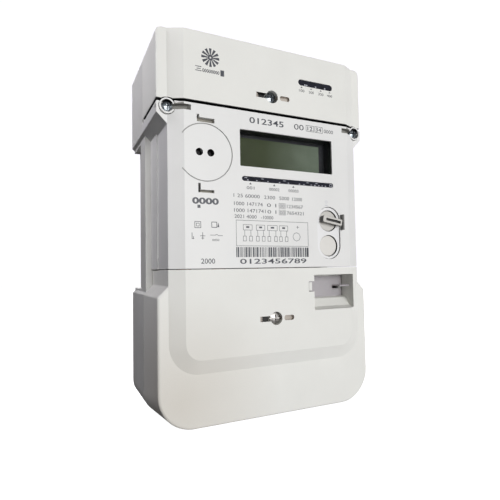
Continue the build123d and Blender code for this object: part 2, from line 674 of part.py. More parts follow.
def make_current_shunt():
    x = TERMINALS_X[0]
    strip = block(x - 4.5, x + 4.5, -21, -23.4, -15, -3)
    return strip - block(x - 5, x + 5, -22.4, -24, -11, -7)


def make_current_transformer():
    coil = crossbar(-20, -3, 10.0, 21, 29)
    coil = soften(coil, 1.5, lambda edge: edge.geom_type == GeomType.CIRCLE)
    return coil - crossbar(-20, -3, 5.6, 15, 35)


# ---- mains terminals ----
def make_terminal_block():
    body = block(-54, 54, -FLOOR, BLOCK_FRONT_Y, -84, -46)
    body = soften(body, 1.0, at_y(BLOCK_FRONT_Y))
    body += block(29, 53, -FLOOR, -60, -46.5, -27)
    body -= block(33, 49, -46, -61, -41.5, -29.5)
    half, reach, z0, z1 = CLAMP
    for x in TERMINALS_X:
        body -= block(x - half - 0.05, x + half + 0.05, 0, TERMINAL_Y - reach - 0.05, z0 - 0.05, z1 + 0.05)
        body -= upright(x, TERMINAL_Y, TERMINAL_BORE_R + 0.7, -85, z0)
        body -= block(x - 5.2, x + 5.2, 0, -21.4, z1 - 1, -26)
        for z in TERMINAL_SCREWS_Z:
            body -= rod(x, z, 3.9, TERMINAL_Y - reach, BLOCK_FRONT_Y - 1)
    body -= rod(*TERMINAL_SCREW, INSERT_R, -44.8 + INSERT_LENGTH, BLOCK_FRONT_Y - 1)
    return body - rod(*TERMINAL_SCREW, SHANK_R + 0.2, -30, BLOCK_FRONT_Y)


def make_terminal_clamps():
    half, reach, z0, z1 = CLAMP
    clamps = []
    for x in TERMINALS_X:
        clamp = block(x - half, x + half, TERMINAL_Y + reach, TERMINAL_Y - reach, z0, z1)
        clamp -= upright(x, TERMINAL_Y, TERMINAL_BORE_R, z0 - 1, z1 + 1)
        for z in TERMINAL_SCREWS_Z:
            clamp -= rod(x, z, 2.56, TERMINAL_Y, TERMINAL_Y - reach - 1)
        clamps.append(clamp)
    return clamps


def make_terminal_screws():
    screws = []
    for x in TERMINALS_X:
        for z in TERMINAL_SCREWS_Z:
            screw = rod(x, z, 2.5, TERMINAL_Y - TERMINAL_BORE_R - 0.6, -39) + rod(x, z, 3.6, -39, -43)
            screws.append(screw - block(x - 4, x + 4, -41.4, -44, z - 0.5, z + 0.5))
    return screws


def make_threaded_inserts():
    places = [(*MODULE_SCREW, -57.8), (*TERMINAL_SCREW, -44.8)]
    places += [(side * EAR_SCREW_X, EAR_SCREW_Z, EAR_INSERT_Y) for side in (-1, 1)]
    inserts = []
    for x, z, y in places:
        inserts.append(rod(x, z, INSERT_R, y + INSERT_LENGTH, y) - rod(x, z, THREAD_HOLE_R, 0, y - 1))
    return inserts


def make_service_socket():
    socket = block(33.1, 48.9, -46, -62.6, -41.4, -29.6)
    return socket - block(35.2, 46.8, -50, -63.6, -39.4, -31.6)


def make_cover_switch():
    case = block(-56, -46, SWITCH_Y, SWITCH_Y - 8, -40, -28)
    return case - rod(*SWITCH_AT, 1.56, SWITCH_Y - 1, SWITCH_Y - 9)


def make_switch_plunger():
    return rod(*SWITCH_AT, 1.5, SWITCH_Y - 2.5, SWITCH_PLUNGER_Y)


def make_port_shutter():
    plate = panel(SHUTTER, 0, 0.8, SHUTTER_Y[1], SHUTTER_Y[0])
    x0, x1, z0, z1 = SHUTTER_PULL
    plate -= block(x0, x1 + 1, 0, FACE_Y, SHUTTER_NOTCH_Z, z0)
    return plate + block(x0, x1, SHUTTER_Y[0], SHUTTER_Y[0] - 8.0, z0, z1)


# ---- plug-in module under the top cover ----
def module_shape(inset):
    """Outline of the module, notched round the screw boss."""
    points = [
        (60 - inset, 103.0 - inset),
        (60 - inset, 72.6 + inset),
        (8 + inset, 72.6 + inset),
        (8 + inset, 85.0 + inset),
    ]
    return symmetric(points, [max(2.5 - inset, 0.5), max(2.5 - inset, 0.5), 1.0, 1.0])


def make_module_case():
    case = slab(module_shape(0), -52.0, -72.5)
    case = soften(case, 1.0, at_y(-72.5))
    case -= slab(module_shape(1.6), -51.0, -70.9)
    return case - panel(STATUS, 1.5, 0.8, -60, -75)


def make_module_lid():
    return slab(module_shape(0), BAY_Y - 0.2, -52.0) - panel(MODULE_PLUG, 0.3, 0.5, -40, -55)


def make_module_board():
    return slab(module_shape(2.6), MODULE_BOARD_Y, MODULE_BOARD_Y - BOARD_T)


def make_module_plug():
    return panel(MODULE_PLUG, 0, 0.3, -46.2, MODULE_BOARD_Y)


def make_module_socket():
    return panel(MODULE_PLUG, 0, 0.3, MAIN_BOARD_Y - BOARD_T, -46.0)


def make_radio_chip():
    front = MODULE_BOARD_Y - BOARD_T
    return block(-44, -20, front, front - 2.6, 78, 98)


def make_antenna():
    back = MODULE_BOARD_Y - BOARD_T
    strip = block(-56, -53, back, back - 1.0, 76, 99)
    return strip + block(-53, -47, back, back - 1.0, 96, 99)


NODES = {
    "rear_base": make_rear_base(),
    "cover_gasket": make_cover_gasket(),
    "hanger_plate": make_hanger_plate(),
    "main_cover": make_main_cover(),
    "module_cover": make_module_cover(),
    "terminal_cover": make_terminal_cover(),
    "module_cover_screw": seal_screw(*MODULE_SCREW, FACE_Y + 1.2, -50),
    "terminal_cover_screw": seal_screw(*TERMINAL_SCREW, FACE_Y + 1.2, -37),
    "ear_screw_left": seal_screw(-EAR_SCREW_X, EAR_SCREW_Z, EAR_WELL_Y - 2.4, -28, 2.9),
    "ear_screw_right": seal_screw(EAR_SCREW_X, EAR_SCREW_Z, EAR_WELL_Y - 2.4, -28, 2.9),
    "threaded_inserts": make_threaded_inserts(),
    "display_window": make_display_window(),
    "display_shroud": make_display_shroud(),
    "lcd_glass": make_lcd_glass(),
    "lcd_backlight": make_lcd_backlight(),
    "lcd_pins": make_lcd_pins(),
    "indicator_lens": lens(STRIP, 1.4),
    "indicator_lamps": lamps(STRIP_LAMPS_X, 27.9, 1.2, DISPLAY_BOARD_Y - BOARD_T),
    "port_ring": make_port_ring(),
    "port_diodes": make_port_diodes(),
    "control_bezel": make_control_bezel(),
    "scroll_button": make_scroll_button(),
    "scroll_spring": make_scroll_spring(),
    "scroll_switch": make_scroll_switch(),
    "seal_knob": make_seal_knob(),
    "knob_switch": make_knob_switch(),
    "seal_lug": make_seal_lug(),
    "main_board": make_main_board(),
    "board_screws": make_board_screws(),
    "board_pillars": make_board_pillars(),
    "display_board": make_display_board(),
    "control_chips": make_control_chips(),
    "capacitors": make_capacitors(),
    "varistor": make_varistor(),
    "power_transformer": make_power_transformer(),
    "backup_battery": make_backup_battery(),
    "battery_clip": make_battery_clip(),
    "disconnect_relay": make_disconnect_relay(),
    "live_in_bar": bar(TERMINALS_X[0], 4),
    "live_out_bar": bar(TERMINALS_X[1], 4),
    "neutral_bar": make_neutral_bar(),
    "current_shunt": make_current_shunt(),
    "current_transformer": make_current_transformer(),
    "terminal_block": make_terminal_block(),
    "terminal_clamps": make_terminal_clamps(),
    "terminal_screws": make_terminal_screws(),
    "service_socket": make_service_socket(),
    "port_shutter": make_port_shutter(),
    "cover_switch": make_cover_switch(),
    "switch_plunger": make_switch_plunger(),
    "status_lens": lens(STATUS, 1.9),
    "status_lamps": lamps(STATUS_LAMPS_X, 89.9, 1.2, MODULE_BOARD_Y - BOARD_T),
    "module_case": make_module_case(),
    "module_lid": make_module_lid(),
    "module_board": make_module_board(),
    "module_plug": make_module_plug(),
    "module_socket": make_module_socket(),
    "radio_chip": make_radio_chip(),
    "antenna": make_antenna(),
}

os.makedirs("parts", exist_ok=True)
for name, shape in NODES.items():
    solids = shape if isinstance(shape, list) else shape.solids()
    whole = solids[0] if len(solids) == 1 else Compound(children=list(solids))
    export_step(whole, f"parts/{name}.step")
    print(name, len(solids), round(sum(solid.volume for solid in solids), 1))
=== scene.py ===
import math
import random

import bpy
from mathutils import Matrix, Vector


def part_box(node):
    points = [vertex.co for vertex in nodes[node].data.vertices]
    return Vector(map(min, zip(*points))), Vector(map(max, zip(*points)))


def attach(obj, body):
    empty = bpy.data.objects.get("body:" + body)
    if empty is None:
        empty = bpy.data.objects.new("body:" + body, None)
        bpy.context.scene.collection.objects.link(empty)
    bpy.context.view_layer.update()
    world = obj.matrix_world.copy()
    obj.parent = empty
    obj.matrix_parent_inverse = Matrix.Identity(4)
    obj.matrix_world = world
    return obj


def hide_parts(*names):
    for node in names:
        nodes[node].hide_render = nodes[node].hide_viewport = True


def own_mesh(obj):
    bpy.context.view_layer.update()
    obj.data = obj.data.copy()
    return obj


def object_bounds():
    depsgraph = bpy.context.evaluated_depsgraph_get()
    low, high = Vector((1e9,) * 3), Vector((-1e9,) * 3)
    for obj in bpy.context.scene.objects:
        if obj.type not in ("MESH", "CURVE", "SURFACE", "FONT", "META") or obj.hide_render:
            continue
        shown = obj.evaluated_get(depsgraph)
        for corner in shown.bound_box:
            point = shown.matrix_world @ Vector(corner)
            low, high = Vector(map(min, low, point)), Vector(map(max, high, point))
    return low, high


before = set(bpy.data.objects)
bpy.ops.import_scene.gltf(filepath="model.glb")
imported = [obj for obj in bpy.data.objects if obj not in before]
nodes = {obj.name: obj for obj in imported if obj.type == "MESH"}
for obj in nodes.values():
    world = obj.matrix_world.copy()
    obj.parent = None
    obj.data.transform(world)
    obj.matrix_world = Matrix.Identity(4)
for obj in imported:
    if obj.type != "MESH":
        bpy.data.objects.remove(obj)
cad_box = [list(corner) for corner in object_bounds()]
bpy.ops.object.select_all(action="DESELECT")


# ---- Rear base ----
# The back half of the case, moulded in one piece from pale grey polycarbonate with fine sparked grain.
# It hangs on the wall and carries everything else. Handling dulls its edges a little.
MM = 0.001


def new_group(name, inputs, outputs):
    """Empty shader group with its sockets, and its input and output nodes."""
    tree = bpy.data.node_groups.new(name, "ShaderNodeTree")
    for label, kind, value in inputs:
        socket = tree.interface.new_socket(name=label, in_out="INPUT", socket_type="NodeSocket" + kind)
        if value is not None:
            socket.default_value = value
    for label, kind in outputs:
        tree.interface.new_socket(name=label, in_out="OUTPUT", socket_type="NodeSocket" + kind)
    return tree, tree.nodes.new("NodeGroupInput"), tree.nodes.new("NodeGroupOutput")


def maths(tree, operation, first, second=None):
    """Math node fed by sockets or numbers."""
    node = tree.nodes.new("ShaderNodeMath")
    node.operation = operation
    for socket, value in zip(node.inputs, (first, second)):
        if isinstance(value, bpy.types.NodeSocket):
            tree.links.new(value, socket)
        elif value is not None:
            socket.default_value = value
    return node.outputs[0]


def noise(tree, vector, scale, detail=3.0, roughness=0.55):
    """Noise texture on a vector; its scale is a socket or a number."""
    node = tree.nodes.new("ShaderNodeTexNoise")
    node.inputs["Detail"].default_value = detail
    node.inputs["Roughness"].default_value = roughness
    tree.links.new(vector, node.inputs["Vector"])
    if isinstance(scale, bpy.types.NodeSocket):
        tree.links.new(scale, node.inputs["Scale"])
    else:
        node.inputs["Scale"].default_value = scale
    return node.outputs["Fac"]


def spread(tree, value, low, high, out_low=0.0, out_high=1.0):
    """Map Range node from one range to another, clamped."""
    node = tree.nodes.new("ShaderNodeMapRange")
    tree.links.new(value, node.inputs["Value"])
    for label, number in (("From Min", low), ("From Max", high), ("To Min", out_low), ("To Max", out_high)):
        if isinstance(number, bpy.types.NodeSocket):
            tree.links.new(number, node.inputs[label])
        else:
            node.inputs[label].default_value = number
    return node.outputs["Result"]


def blend_colour(tree, share, first, second):
    """Mix node between two colours, each a socket or a colour."""
    node = tree.nodes.new("ShaderNodeMix")
    node.data_type = "RGBA"
    for socket, value in zip((node.inputs[0], node.inputs[6], node.inputs[7]), (share, first, second)):
        if isinstance(value, bpy.types.NodeSocket):
            tree.links.new(value, socket)
        else:
            socket.default_value = value
    return node.outputs[2]


def make_mottle():
    """Cloudy colour of a moulded or plated surface, between two tones."""
    tree, given, out = new_group(
        "Mottle",
        [("Vector", "Vector", None), ("Light", "Color", None), ("Deep", "Color", None),
         ("Scale", "Float", 40.0)],
        [("Colour", "Color"), ("Cloud", "Float")],
    )
    cloud = spread(tree, noise(tree, given.outputs["Vector"], given.outputs["Scale"], 4.0), 0.3, 0.7)
    colour = blend_colour(tree, cloud, given.outputs["Deep"], given.outputs["Light"])
    tree.links.new(colour, out.inputs["Colour"])
    tree.links.new(cloud, out.inputs["Cloud"])
    return tree


def make_grain():
    """Fine pebbled grain of a sparked mould face, as a surface normal."""
    tree, given, out = new_group(
        "Moulded grain",
        [("Vector", "Vector", None), ("Scale", "Float", 2500.0), ("Depth", "Float", 0.15)],
        [("Normal", "Vector")],
    )
    pebbles = tree.nodes.new("ShaderNodeTexVoronoi")
    tree.links.new(given.outputs["Vector"], pebbles.inputs["Vector"])
    tree.links.new(given.outputs["Scale"], pebbles.inputs["Scale"])
    waves = noise(tree, given.outputs["Vector"], 60.0, 2.0)
    height = maths(tree, "ADD", pebbles.outputs["Distance"], maths(tree, "MULTIPLY", waves, 2.0))
    bump = tree.nodes.new("ShaderNodeBump")
    bump.inputs["Distance"].default_value = 0.0001
    tree.links.new(given.outputs["Depth"], bump.inputs["Strength"])
    tree.links.new(height, bump.inputs["Height"])
    tree.links.new(bump.outputs["Normal"], out.inputs["Normal"])
    return tree


def make_rubbed_edge():
    """Mask of the edges that hands and tools rub, broken up by noise."""
    tree, given, out = new_group(
        "Rubbed edge",
        [("Vector", "Vector", None), ("Width", "Float", 0.0008)],
        [("Mask", "Float")],
    )
    rounded = tree.nodes.new("ShaderNodeBevel")
    rounded.samples = 4
    tree.links.new(given.outputs["Width"], rounded.inputs["Radius"])
    true_face = tree.nodes.new("ShaderNodeNewGeometry")
    dot = tree.nodes.new("ShaderNodeVectorMath")
    dot.operation = "DOT_PRODUCT"
    tree.links.new(rounded.outputs["Normal"], dot.inputs[0])
    tree.links.new(true_face.outputs["Normal"], dot.inputs[1])
    edge = spread(tree, dot.outputs["Value"], 0.99, 0.8)
    patches = spread(tree, noise(tree, given.outputs["Vector"], 180.0), 0.35, 0.65, 0.2, 1.0)
    tree.links.new(maths(tree, "MULTIPLY", edge, patches), out.inputs["Mask"])
    return tree


def make_dust():
    """Mask of the thin dust that settles on faces turned upwards."""
    tree, given, out = new_group("Settled dust", [("Vector", "Vector", None)], [("Mask", "Float")])
    facing = tree.nodes.new("ShaderNodeTexCoord")
    parts = tree.nodes.new("ShaderNodeSeparateXYZ")
    tree.links.new(facing.outputs["Normal"], parts.inputs[0])
    up = spread(tree, parts.outputs["Z"], 0.3, 1.0)
    patches = spread(tree, noise(tree, given.outputs["Vector"], 90.0, 5.0), 0.4, 0.7)
    tree.links.new(maths(tree, "MULTIPLY", up, patches), out.inputs["Mask"])
    return tree


def make_seam_grime():
    """Mask of painted shade between two levels, on faces that look up or down in front of a depth."""
    tree, given, out = new_group(
        "Seam painted shade",
        [("Vector", "Vector", None), ("Low", "Float", 0.0), ("High", "Float", 0.0), ("Back", "Float", 0.0)],
        [("Mask", "Float")],
    )
    parts = tree.nodes.new("ShaderNodeSeparateXYZ")
    tree.links.new(given.outputs["Vector"], parts.inputs[0])
    facing = tree.nodes.new("ShaderNodeTexCoord")
    turned = tree.nodes.new("ShaderNodeSeparateXYZ")
    tree.links.new(facing.outputs["Normal"], turned.inputs[0])
    level = maths(tree, "ABSOLUTE", turned.outputs["Z"])
    lying = spread(tree, level, 0.35, 0.7)
    above = maths(tree, "GREATER_THAN", parts.outputs["Z"], given.outputs["Low"])
    below = maths(tree, "LESS_THAN", parts.outputs["Z"], given.outputs["High"])
    front = maths(tree, "LESS_THAN", parts.outputs["Y"], given.outputs["Back"])
    between = maths(tree, "MULTIPLY", maths(tree, "MULTIPLY", above, below), front)
    tree.links.new(maths(tree, "MULTIPLY", between, lying), out.inputs["Mask"])
    return tree


MOTTLE = make_mottle()
GRAIN = make_grain()
RUBBED_EDGE = make_rubbed_edge()
DUST = make_dust()
SEAM_PAINTED_SHADE = make_seam_grime()


def place_group(tree, group, vector, **values):
    """Puts a shader group in a material, with its values."""
    node = tree.nodes.new("ShaderNodeGroup")
    node.node_tree = group
    tree.links.new(vector, node.inputs["Vector"])
    for label, value in values.items():
        if isinstance(value, bpy.types.NodeSocket):
            tree.links.new(value, node.inputs[label])
        else:
            node.inputs[label].default_value = value
    return node


def srgb(red, green, blue):
    """Linear colour from the 0 to 255 values of a colour chip."""
    def linear(value):
        value /= 255.0
        return value / 12.92 if value <= 0.04045 else ((value + 0.055) / 1.055) ** 2.4

    return (linear(red), linear(green), linear(blue), 1.0)


DUST_TONE = srgb(176, 170, 160)
# near-black tone of the painted shade in seams
SEAM_SHADE_TONE = srgb(12, 12, 16)
CORNER_SHADE_TONE = srgb(194, 184, 168)
CORNER_SHADE_REACH = 60 * MM
GLOSS_SPREAD = 0.04


def new_material(name):
    """Material with its node tree, its shader and the object's own coordinates."""
    material = bpy.data.materials.new(name)
    material.use_nodes = True
    tree = material.node_tree
    where = tree.nodes.new("ShaderNodeTexCoord").outputs["Object"]
    return material, tree, tree.nodes["Principled BSDF"], where


def surface(name, light, deep, rough, grain=(2500.0, 0.15), rub=None, rub_share=0.5, cloud=40.0, dust=0.12,
            metal=0.0, specular=0.5, coat=0.0, width=0.0008, seam=None, shaded_corner=None):
    """Material with clouded colour, rubbed edges, dust, uneven gloss and grain.

    Its light and deep tones and the tone of its rubbed edges are colour chips. grain is the scale and depth
    of the grain. seam is the low and high level of a joint painted dark as shade and how far back the painted
    shade goes, and the last one is the point round which the colour is darkened as painted shade.
    """
    material, tree, shader, where = new_material(name)
    mottle = place_group(tree, MOTTLE, where, Light=srgb(*light), Deep=srgb(*deep), Scale=cloud)
    edge = place_group(tree, RUBBED_EDGE, where, Width=width).outputs["Mask"]
    rubbed = maths(tree, "MULTIPLY", edge, rub_share)
    colour = blend_colour(tree, rubbed, mottle.outputs["Colour"], srgb(*(rub or light)))
    settled = maths(tree, "MULTIPLY", place_group(tree, DUST, where).outputs["Mask"], dust)
    colour = blend_colour(tree, settled, colour, DUST_TONE)
    if seam:
        low, high, back = seam
        painted_seam_shade = place_group(tree, SEAM_PAINTED_SHADE, where, Low=low, High=high, Back=back).outputs["Mask"]
        colour = blend_colour(tree, painted_seam_shade, colour, SEAM_SHADE_TONE)
    # painted shade: the colour turns darker and warmer towards a corner
    if shaded_corner:
        away = tree.nodes.new("ShaderNodeVectorMath")
        away.operation = "DISTANCE"
        away.inputs[1].default_value = shaded_corner
        tree.links.new(where, away.inputs[0])
        corner_shade = spread(tree, away.outputs["Value"], 0.0, CORNER_SHADE_REACH, 0.5, 0.0)
        colour = blend_colour(tree, corner_shade, colour, CORNER_SHADE_TONE)
    tree.links.new(colour, shader.inputs["Base Color"])
    worn = maths(tree, "MULTIPLY", edge, -0.08)
    uneven = spread(tree, mottle.outputs["Cloud"], 0.0, 1.0, rough - GLOSS_SPREAD, rough + GLOSS_SPREAD)
    gloss = maths(tree, "ADD", uneven, worn)
    dulled = maths(tree, "ADD", gloss, maths(tree, "MULTIPLY", settled, 1.5))
    tree.links.new(dulled, shader.inputs["Roughness"])
    grained = place_group(tree, GRAIN, where, Scale=grain[0], Depth=grain[1])
    tree.links.new(grained.outputs["Normal"], shader.inputs["Normal"])
    shader.inputs["Metallic"].default_value = metal
    shader.inputs["Specular IOR Level"].default_value = specular
    shader.inputs["Coat Weight"].default_value = coat
    return material


def dress(material, *names):
    """Gives CAD nodes one finish all over."""
    for name in names:
        slots = nodes[name].data.materials
        slots.clear()
        slots.append(material)
        for polygon in nodes[name].data.polygons:
            polygon.material_index = 0


base_plastic = surface(
    "Base polycarbonate", (225, 225, 221), (218, 218, 213), 0.42, (2200.0, 0.25), rub_share=0.6,
)
dress(base_plastic, "rear_base")
rubber = surface("Gasket rubber", (38, 38, 40), (26, 26, 28), 0.75, (1500.0, 0.3), rub=(60, 60, 62))
dress(rubber, "cover_gasket")


# ---- Hanging plate ----
# A strip of zinc-plated steel that slides in a channel on the back, so that its hole can show above the case.
# The plating has the faint spangle and the draw lines of rolled sheet.
zinc = surface(
    "Zinc plate", (192, 194, 196), (150, 153, 158), 0.42, (700.0, 0.12), rub=(226, 228, 230),
    cloud=160.0, metal=1.0, dust=0.05, width=0.0004,
)
dress(zinc, "hanger_plate")


# ---- Main cover ----
# The narrow middle cover, moulded in a cooler and glossier white than its neighbours because it carries the
# print. Two sealing screws hold it by its ears, and it is never opened in use. Painted shade darkens its
# joint with the top cover.
seam_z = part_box("module_cover")[0].z
# painted shade darkens the main cover's faces in its joint under the top cover
main_seam = (seam_z - 2.4 * MM, seam_z, -72 * MM)
main_plastic = surface(
    "Main cover plastic", (230, 230, 227), (225, 225, 222), 0.42, (2600.0, 0.08), rub=(236, 236, 234),
    specular=0.35, seam=main_seam,
)
dress(main_plastic, "main_cover")


# ---- Top and terminal covers ----
# Two loose covers in warm matt white, with a grained face: the top one over the plug-in module, the lower one
# over the mains terminals. Fingers polish their edges where they are pulled off.
# painted shade darkens the top cover's faces in its joint with the main cover
cover_seam = (seam_z - 1 * MM, seam_z + 3.4 * MM, -40 * MM)
cover_plastic = surface(
    "Cover plastic", (231, 231, 225), (227, 227, 221), 0.55, (2300.0, 0.22), rub=(236, 236, 231),
    specular=0.3, seam=cover_seam,
)
dress(cover_plastic, "module_cover")
# painted shade darkens the terminal cover towards its lower left front corner
foot_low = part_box("terminal_cover")[0]
foot_corner = Vector((foot_low.x + 12 * MM, foot_low.y, foot_low.z + 14 * MM))
foot_plastic = surface(
    "Terminal cover plastic", (232, 232, 226), (228, 228, 222), 0.55, (2300.0, 0.22), rub=(236, 236, 231),
    specular=0.3, shaded_corner=foot_corner,
)
dress(foot_plastic, "terminal_cover")


def tint_faces(name, material, chosen):
    """Gives another finish to the faces of a CAD node that a test picks."""
    slots = nodes[name].data.materials
    slots.append(material)
    for polygon in nodes[name].data.polygons:
        if chosen(polygon.center / MM, polygon.normal):
            polygon.material_index = len(slots) - 1


# Painted shade darkens the wire grooves beside the sealing screws, darkest on the ramps that run into the
# wells.
# The reach of a groove is measured from its screw's axis, and its depth from the front face, in millimetres.
groove_painted_shade = surface("Groove painted shade", (198, 190, 180), (168, 160, 150), 0.6, (1500.0, 0.2))
recess_painted_shade = surface("Recess painted shade", (58, 58, 56), (34, 34, 34), 0.65, (1500.0, 0.2))
face_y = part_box("main_cover")[0].y
FACE_SKIN = 0.1
GROOVE_START, GROOVE_END, GROOVE_HALF, GROOVE_DEPTH = 3.6, 11.9, 1.7, 3.8
RAMP_END = 7.7
for cover_name in ("module_cover", "terminal_cover"):
    screw_name = cover_name + "_screw"
    screw_low, screw_high = (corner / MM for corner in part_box(screw_name))
    middle_x = (screw_low.x + screw_high.x) / 2
    middle_z = (screw_low.z + screw_high.z) / 2

    def in_groove(spot, normal):
        """Whether a face lies in the grooves beside this screw."""
        across, level, depth = abs(spot.x - middle_x), abs(spot.z - middle_z), spot.y - face_y / MM
        return GROOVE_START < across < GROOVE_END and level < GROOVE_HALF and FACE_SKIN < depth < GROOVE_DEPTH

    def on_ramp(spot, normal):
        """Whether a face lies on the ramp to the left of this screw."""
        return in_groove(spot, normal) and middle_x - RAMP_END < spot.x < middle_x

    tint_faces(cover_name, groove_painted_shade, in_groove)
    tint_faces(cover_name, recess_painted_shade, on_ramp)

# the grooves of the two ears, measured from the middle of the meter
EAR_START, EAR_END, EAR_HALF, EAR_DEPTH = 49.4, 58.2, 1.9, 5.6
ear_low, ear_high = (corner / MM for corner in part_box("ear_screw_right"))
ear_z = (ear_low.z + ear_high.z) / 2


def in_ear_groove(spot, normal):
    """Whether a face lies in the wire groove of an ear."""
    across, level, depth = abs(spot.x), abs(spot.z - ear_z), spot.y - face_y / MM
    return EAR_START < across < EAR_END and level < EAR_HALF and FACE_SKIN < depth < EAR_DEPTH


# painted shade darkens the faces of the ear grooves
ear_groove_painted_shade = surface("Ear groove painted shade", (150, 149, 143), (126, 125, 120), 0.6, (1500.0, 0.2))
tint_faces("main_cover", ear_groove_painted_shade, in_ear_groove)


# ---- Sealing screws and inserts ----
# Slotted steel screws with a cross hole for the seal wire, turned from bar and plated with bright zinc.
# They bite in brass inserts that are pressed into the bosses. The terminal cover's own screw has a matt,
# lighter copy of the zinc: a painted highlight that brightens its head.
screw_zinc = surface(
    "Screw zinc", (150, 156, 160), (58, 66, 70), 0.24, (1800.0, 0.2), rub=(232, 234, 236),
    cloud=500.0, metal=1.0, dust=0.05, width=0.0003,
)
dress(screw_zinc, "module_cover_screw", "ear_screw_left", "ear_screw_right")
# lighter copy of the screw zinc, a painted highlight on the terminal cover's screw
zinc_lighter_copy = surface(
    "Screw zinc lighter copy", (216, 213, 208), (138, 136, 132), 0.4, (1800.0, 0.25), rub=(240, 240, 238),
    cloud=600.0, metal=1.0, dust=0.05, width=0.0003,
)
dress(zinc_lighter_copy, "terminal_cover_screw")
brass = surface(
    "Brass", (205, 172, 104), (176, 140, 76), 0.32, (900.0, 0.15), rub=(232, 206, 146),
    cloud=200.0, metal=1.0,
)
dress(brass, "threaded_inserts", "terminal_clamps")


# ---- Display ----
# A reflective liquid-crystal cell behind a clear pane, in a black shroud that keeps stray light off it.
# The cell is grey-green when it shows nothing, and a black border printed on its glass frames the live area.
def clear_pane(name):
    """Clear acrylic: it passes light unbent and mirrors a little of the room."""
    material, tree, shader, where = new_material(name)
    mottle = place_group(tree, MOTTLE, where, Light=srgb(40, 44, 44), Deep=srgb(20, 24, 24), Scale=30.0)
    tree.links.new(mottle.outputs["Colour"], shader.inputs["Base Color"])
    smears = spread(tree, noise(tree, where, 60.0, 5.0), 0.35, 0.75, 0.03, 0.12)
    tree.links.new(smears, shader.inputs["Roughness"])
    through = tree.nodes.new("ShaderNodeBsdfTransparent")
    facing = tree.nodes.new("ShaderNodeFresnel")
    facing.inputs["IOR"].default_value = 1.35
    mixer = tree.nodes.new("ShaderNodeMixShader")
    tree.links.new(facing.outputs[0], mixer.inputs[0])
    tree.links.new(through.outputs[0], mixer.inputs[1])
    tree.links.new(shader.outputs[0], mixer.inputs[2])
    tree.links.new(mixer.outputs[0], tree.nodes["Material Output"].inputs["Surface"])
    return material


dress(clear_pane("Display pane"), "display_window")
black_plastic = surface("Black plastic", (34, 36, 42), (22, 24, 30), 0.4, (1800.0, 0.25), rub=(66, 68, 74))
dress(black_plastic, "display_shroud")
GREEN_END, GREY_START = -2 * MM, 36 * MM


def cell_finish():
    """Polariser over the cell: olive green on the left, lighter and greyer to the right where a reflection of
    the room is painted, with faint drifting clouds.
    """
    material, tree, shader, where = new_material("Liquid crystal")
    olive = place_group(tree, MOTTLE, where, Light=srgb(72, 80, 56), Deep=srgb(60, 68, 46), Scale=26.0)
    grey = place_group(tree, MOTTLE, where, Light=srgb(126, 138, 122), Deep=srgb(96, 108, 92), Scale=38.0)
    parts = tree.nodes.new("ShaderNodeSeparateXYZ")
    tree.links.new(where, parts.inputs[0])
    across = spread(tree, parts.outputs["X"], GREEN_END, GREY_START)
    colour = blend_colour(tree, across, olive.outputs["Colour"], grey.outputs["Colour"])
    tree.links.new(colour, shader.inputs["Base Color"])
    tree.links.new(spread(tree, noise(tree, where, 70.0), 0.3, 0.7, 0.3, 0.42), shader.inputs["Roughness"])
    grained = place_group(tree, GRAIN, where, Scale=3000.0, Depth=0.03)
    tree.links.new(grained.outputs["Normal"], shader.inputs["Normal"])
    shader.inputs["Specular IOR Level"].default_value = 0.1
    return material


dress(cell_finish(), "lcd_glass")

# the border is a little smaller than the pane, and wider on the right and at the top than on the other sides
BORDER_INSET = 3.6 * MM
BORDER_LINE = 0.6 * MM
BORDER_RIGHT = 3.2 * MM
BORDER_TOP = 1.3 * MM
BORDER_THICKNESS = 0.1 * MM
cell_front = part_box("lcd_glass")[0].y
pane_low, pane_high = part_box("display_window")
bpy.ops.mesh.primitive_plane_add(
    size=1,
    location=((pane_low.x + pane_high.x) / 2, cell_front, (pane_low.z + pane_high.z) / 2),
    rotation=(math.pi / 2, 0, 0),
)
border = bpy.context.object
border.name = "lcd_border"
border.scale = (pane_high.x - pane_low.x - BORDER_INSET, pane_high.z - pane_low.z - BORDER_INSET, 1)
bpy.ops.object.transform_apply(location=True, rotation=True, scale=True)
bpy.ops.object.mode_set(mode="EDIT")
bpy.ops.mesh.inset(thickness=BORDER_LINE)
bpy.ops.object.mode_set(mode="OBJECT")
inner = next(face for face in border.data.polygons if face.select)
right_edge = max(border.data.vertices[index].co.x for index in inner.vertices)
top_edge = max(border.data.vertices[index].co.z for index in inner.vertices)
for index in inner.vertices:
    corner = border.data.vertices[index].co
    if corner.x > right_edge - BORDER_LINE:
        corner.x -= BORDER_RIGHT
    if corner.z > top_edge - BORDER_LINE:
        corner.z -= BORDER_TOP
bpy.ops.object.mode_set(mode="EDIT")
bpy.ops.mesh.delete(type="ONLY_FACE")
bpy.ops.object.mode_set(mode="OBJECT")
thicken = border.modifiers.new("thickness", "SOLIDIFY")
thicken.thickness = BORDER_THICKNESS
thicken.offset = 1.0
bpy.ops.object.modifier_apply(modifier="thickness")
border.data.materials.append(black_plastic)
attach(border, "meter")

white_plastic = surface("White plastic", (232, 232, 226), (222, 222, 215), 0.42)
dress(white_plastic, "lcd_backlight")
nickel = surface("Nickel pins", (206, 202, 192), (170, 166, 156), 0.25, (900.0, 0.1), cloud=300.0, metal=1.0)
dress(nickel, "lcd_pins")


# ---- Lamp strips ----
# Two slots filled with smoked acrylic: one under the display and one on the top cover.
# Small lamps on the boards behind them show through only when lit, so the strips look almost black.
smoked = surface(
    "Smoked acrylic", (34, 36, 48), (14, 16, 24), 0.12, (900.0, 0.06), rub=(60, 62, 76),
    cloud=250.0, dust=0.0, specular=0.3,
)
dress(smoked, "indicator_lens", "status_lens")
lamp_resin = surface("Lamp resin", (236, 226, 180), (214, 200, 150), 0.2, (900.0, 0.05), coat=0.3)
dress(lamp_resin, "indicator_lamps", "status_lamps")


